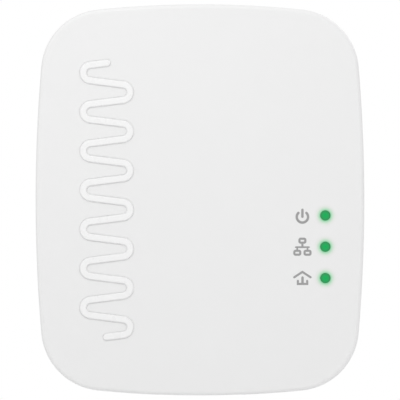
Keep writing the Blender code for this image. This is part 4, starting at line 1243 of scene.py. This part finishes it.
def make_screws():
    """Replace each screw by one with a cross recess and a thread, inside the CAD screw's own box."""
    for kind, (places, core, crest, head_depth) in SCREWS.items():
        for number, place in enumerate(places, 1):
            name = f"{kind}_{number}"
            low, high = node_box(name)
            head_radius = (high.x - low.x) / 2
            outer, tip = (low.y, high.y) if kind == "power_board_screw" else (high.y, low.y)
            inward = copysign(1.0, tip - outer)
            profile = screw_profile(head_radius, outer, outer + inward * head_depth, tip, core, crest)
            screw = solid(f"cross_{name}", stacked(turned(profile, place, SCREW_SIDES)))
            cut_cross(screw, place, outer, inward, head_radius)
            dress(screw, "steel_screw", name)


def cut_cross(screw, place, outer, inward, head_radius):
    """Cut a tapered cross recess into a screw's head."""
    for arm in CROSS_ARMS:
        sections = []
        for level, taper in ((outer - inward * 0.2, 1.05), (outer + inward * 0.9, 0.6)):
            across, along = (head_radius * share * taper for share in arm)
            sections.append((rectangle(across, along, place), level))
        combine(screw, "DIFFERENCE", stacked(sections))


# ---- inner parts


def dress_inner_parts():
    """Give every CAD node that stays in view its slot's finished material."""
    for entry in frame["record"]["subparts"]:
        part = frame["nodes"][entry["node"]]
        look = LOOKS[entry["material_slot"]]
        if part.material_slots:
            for held in part.material_slots:
                held.material = look
        else:
            part.data.materials.append(look)


# ---- studio


def make_world():
    """A white backdrop, and soft light from all round that is brighter above and to the left."""
    world = bpy.data.worlds.new("studio")
    bpy.context.scene.world = world
    world.use_nodes = True
    tree = world.node_tree
    tree.nodes.clear()
    place = node(tree, "TexCoord").outputs["Generated"]
    bright_side = Vector(SKY_TOWARD).normalized()
    toward = node(tree, "VectorMath", place, bright_side, operation="DOT_PRODUCT").outputs["Value"]
    level = node(tree, "MapRange", toward, -1.0, 0.0, SKY_LOW, SKY_HIGH).outputs["Result"]
    light = node(tree, "Background", Strength=level).outputs[0]
    backdrop = node(tree, "Background", (1.0, 1.0, 1.0, 1.0), BACKDROP).outputs[0]
    seen = node(tree, "LightPath").outputs["Is Camera Ray"]
    mix = node(tree, "MixShader", seen, light, backdrop).outputs[0]
    node(tree, "OutputWorld", mix)


def make_light(name, place, aim, size, power):
    """A square soft light at a place, facing the aim."""
    data = bpy.data.lights.new(name, "AREA")
    data.shape = "SQUARE"
    data.size = size
    data.energy = power
    lamp = added(name, data)
    lamp.location = place
    lamp.rotation_euler = (Vector(aim) - Vector(place)).to_track_quat("-Z", "Y").to_euler()
    lamp.visible_camera = False


def make_floor():
    """A pale round floor below the adapter, outside the camera's view."""
    mesh = bpy.data.meshes.new("floor")
    bm = bmesh.new()
    bmesh.ops.create_circle(bm, cap_ends=True, radius=FLOOR_RADIUS, segments=FLOOR_SIDES)
    bm.to_mesh(mesh)
    bm.free()
    floor = added("floor", mesh)
    floor.location.z = FLOOR_Z
    look = surface("floor", (0.86, 0.86, 0.86), 0.7, grain=0.6, relief=0.01, mottle=0.01)[0]
    mesh.materials.append(look)


def make_camera():
    """Straight in front of the adapter, level with its middle."""
    data = bpy.data.cameras.new("camera")
    data.sensor_width = SENSOR_WIDTH
    data.lens = SENSOR_WIDTH * CAMERA_DISTANCE / VIEW_WIDTH
    data.clip_end = CLIP_END
    camera = added("camera", data)
    camera.location = (0.0, PARTING_Y * MM - CAMERA_DISTANCE, 0.0)
    camera.rotation_euler = (QUARTER, 0.0, 0.0)
    bpy.context.scene.camera = camera


def main():
    dress_inner_parts()
    make_front_shell()
    make_front_wave()
    make_rear_shell()
    make_lamp_guide()
    make_icons()
    make_pins()
    make_label()
    make_label_rules()
    make_jack()
    make_contacts()
    make_pair_button()
    make_plungers()
    make_screws()
    make_world()
    focus = (0.0, FRONT_Y * MM, 0.0)
    make_light("key", KEY_PLACE, focus, KEY_SIZE, KEY_POWER)
    make_light("rear_fill", REAR_PLACE, (0.0, 0.0, 0.0), REAR_SIZE, REAR_POWER)
    make_floor()
    make_camera()
    bpy.context.scene.view_settings.view_transform = "Standard"


main()
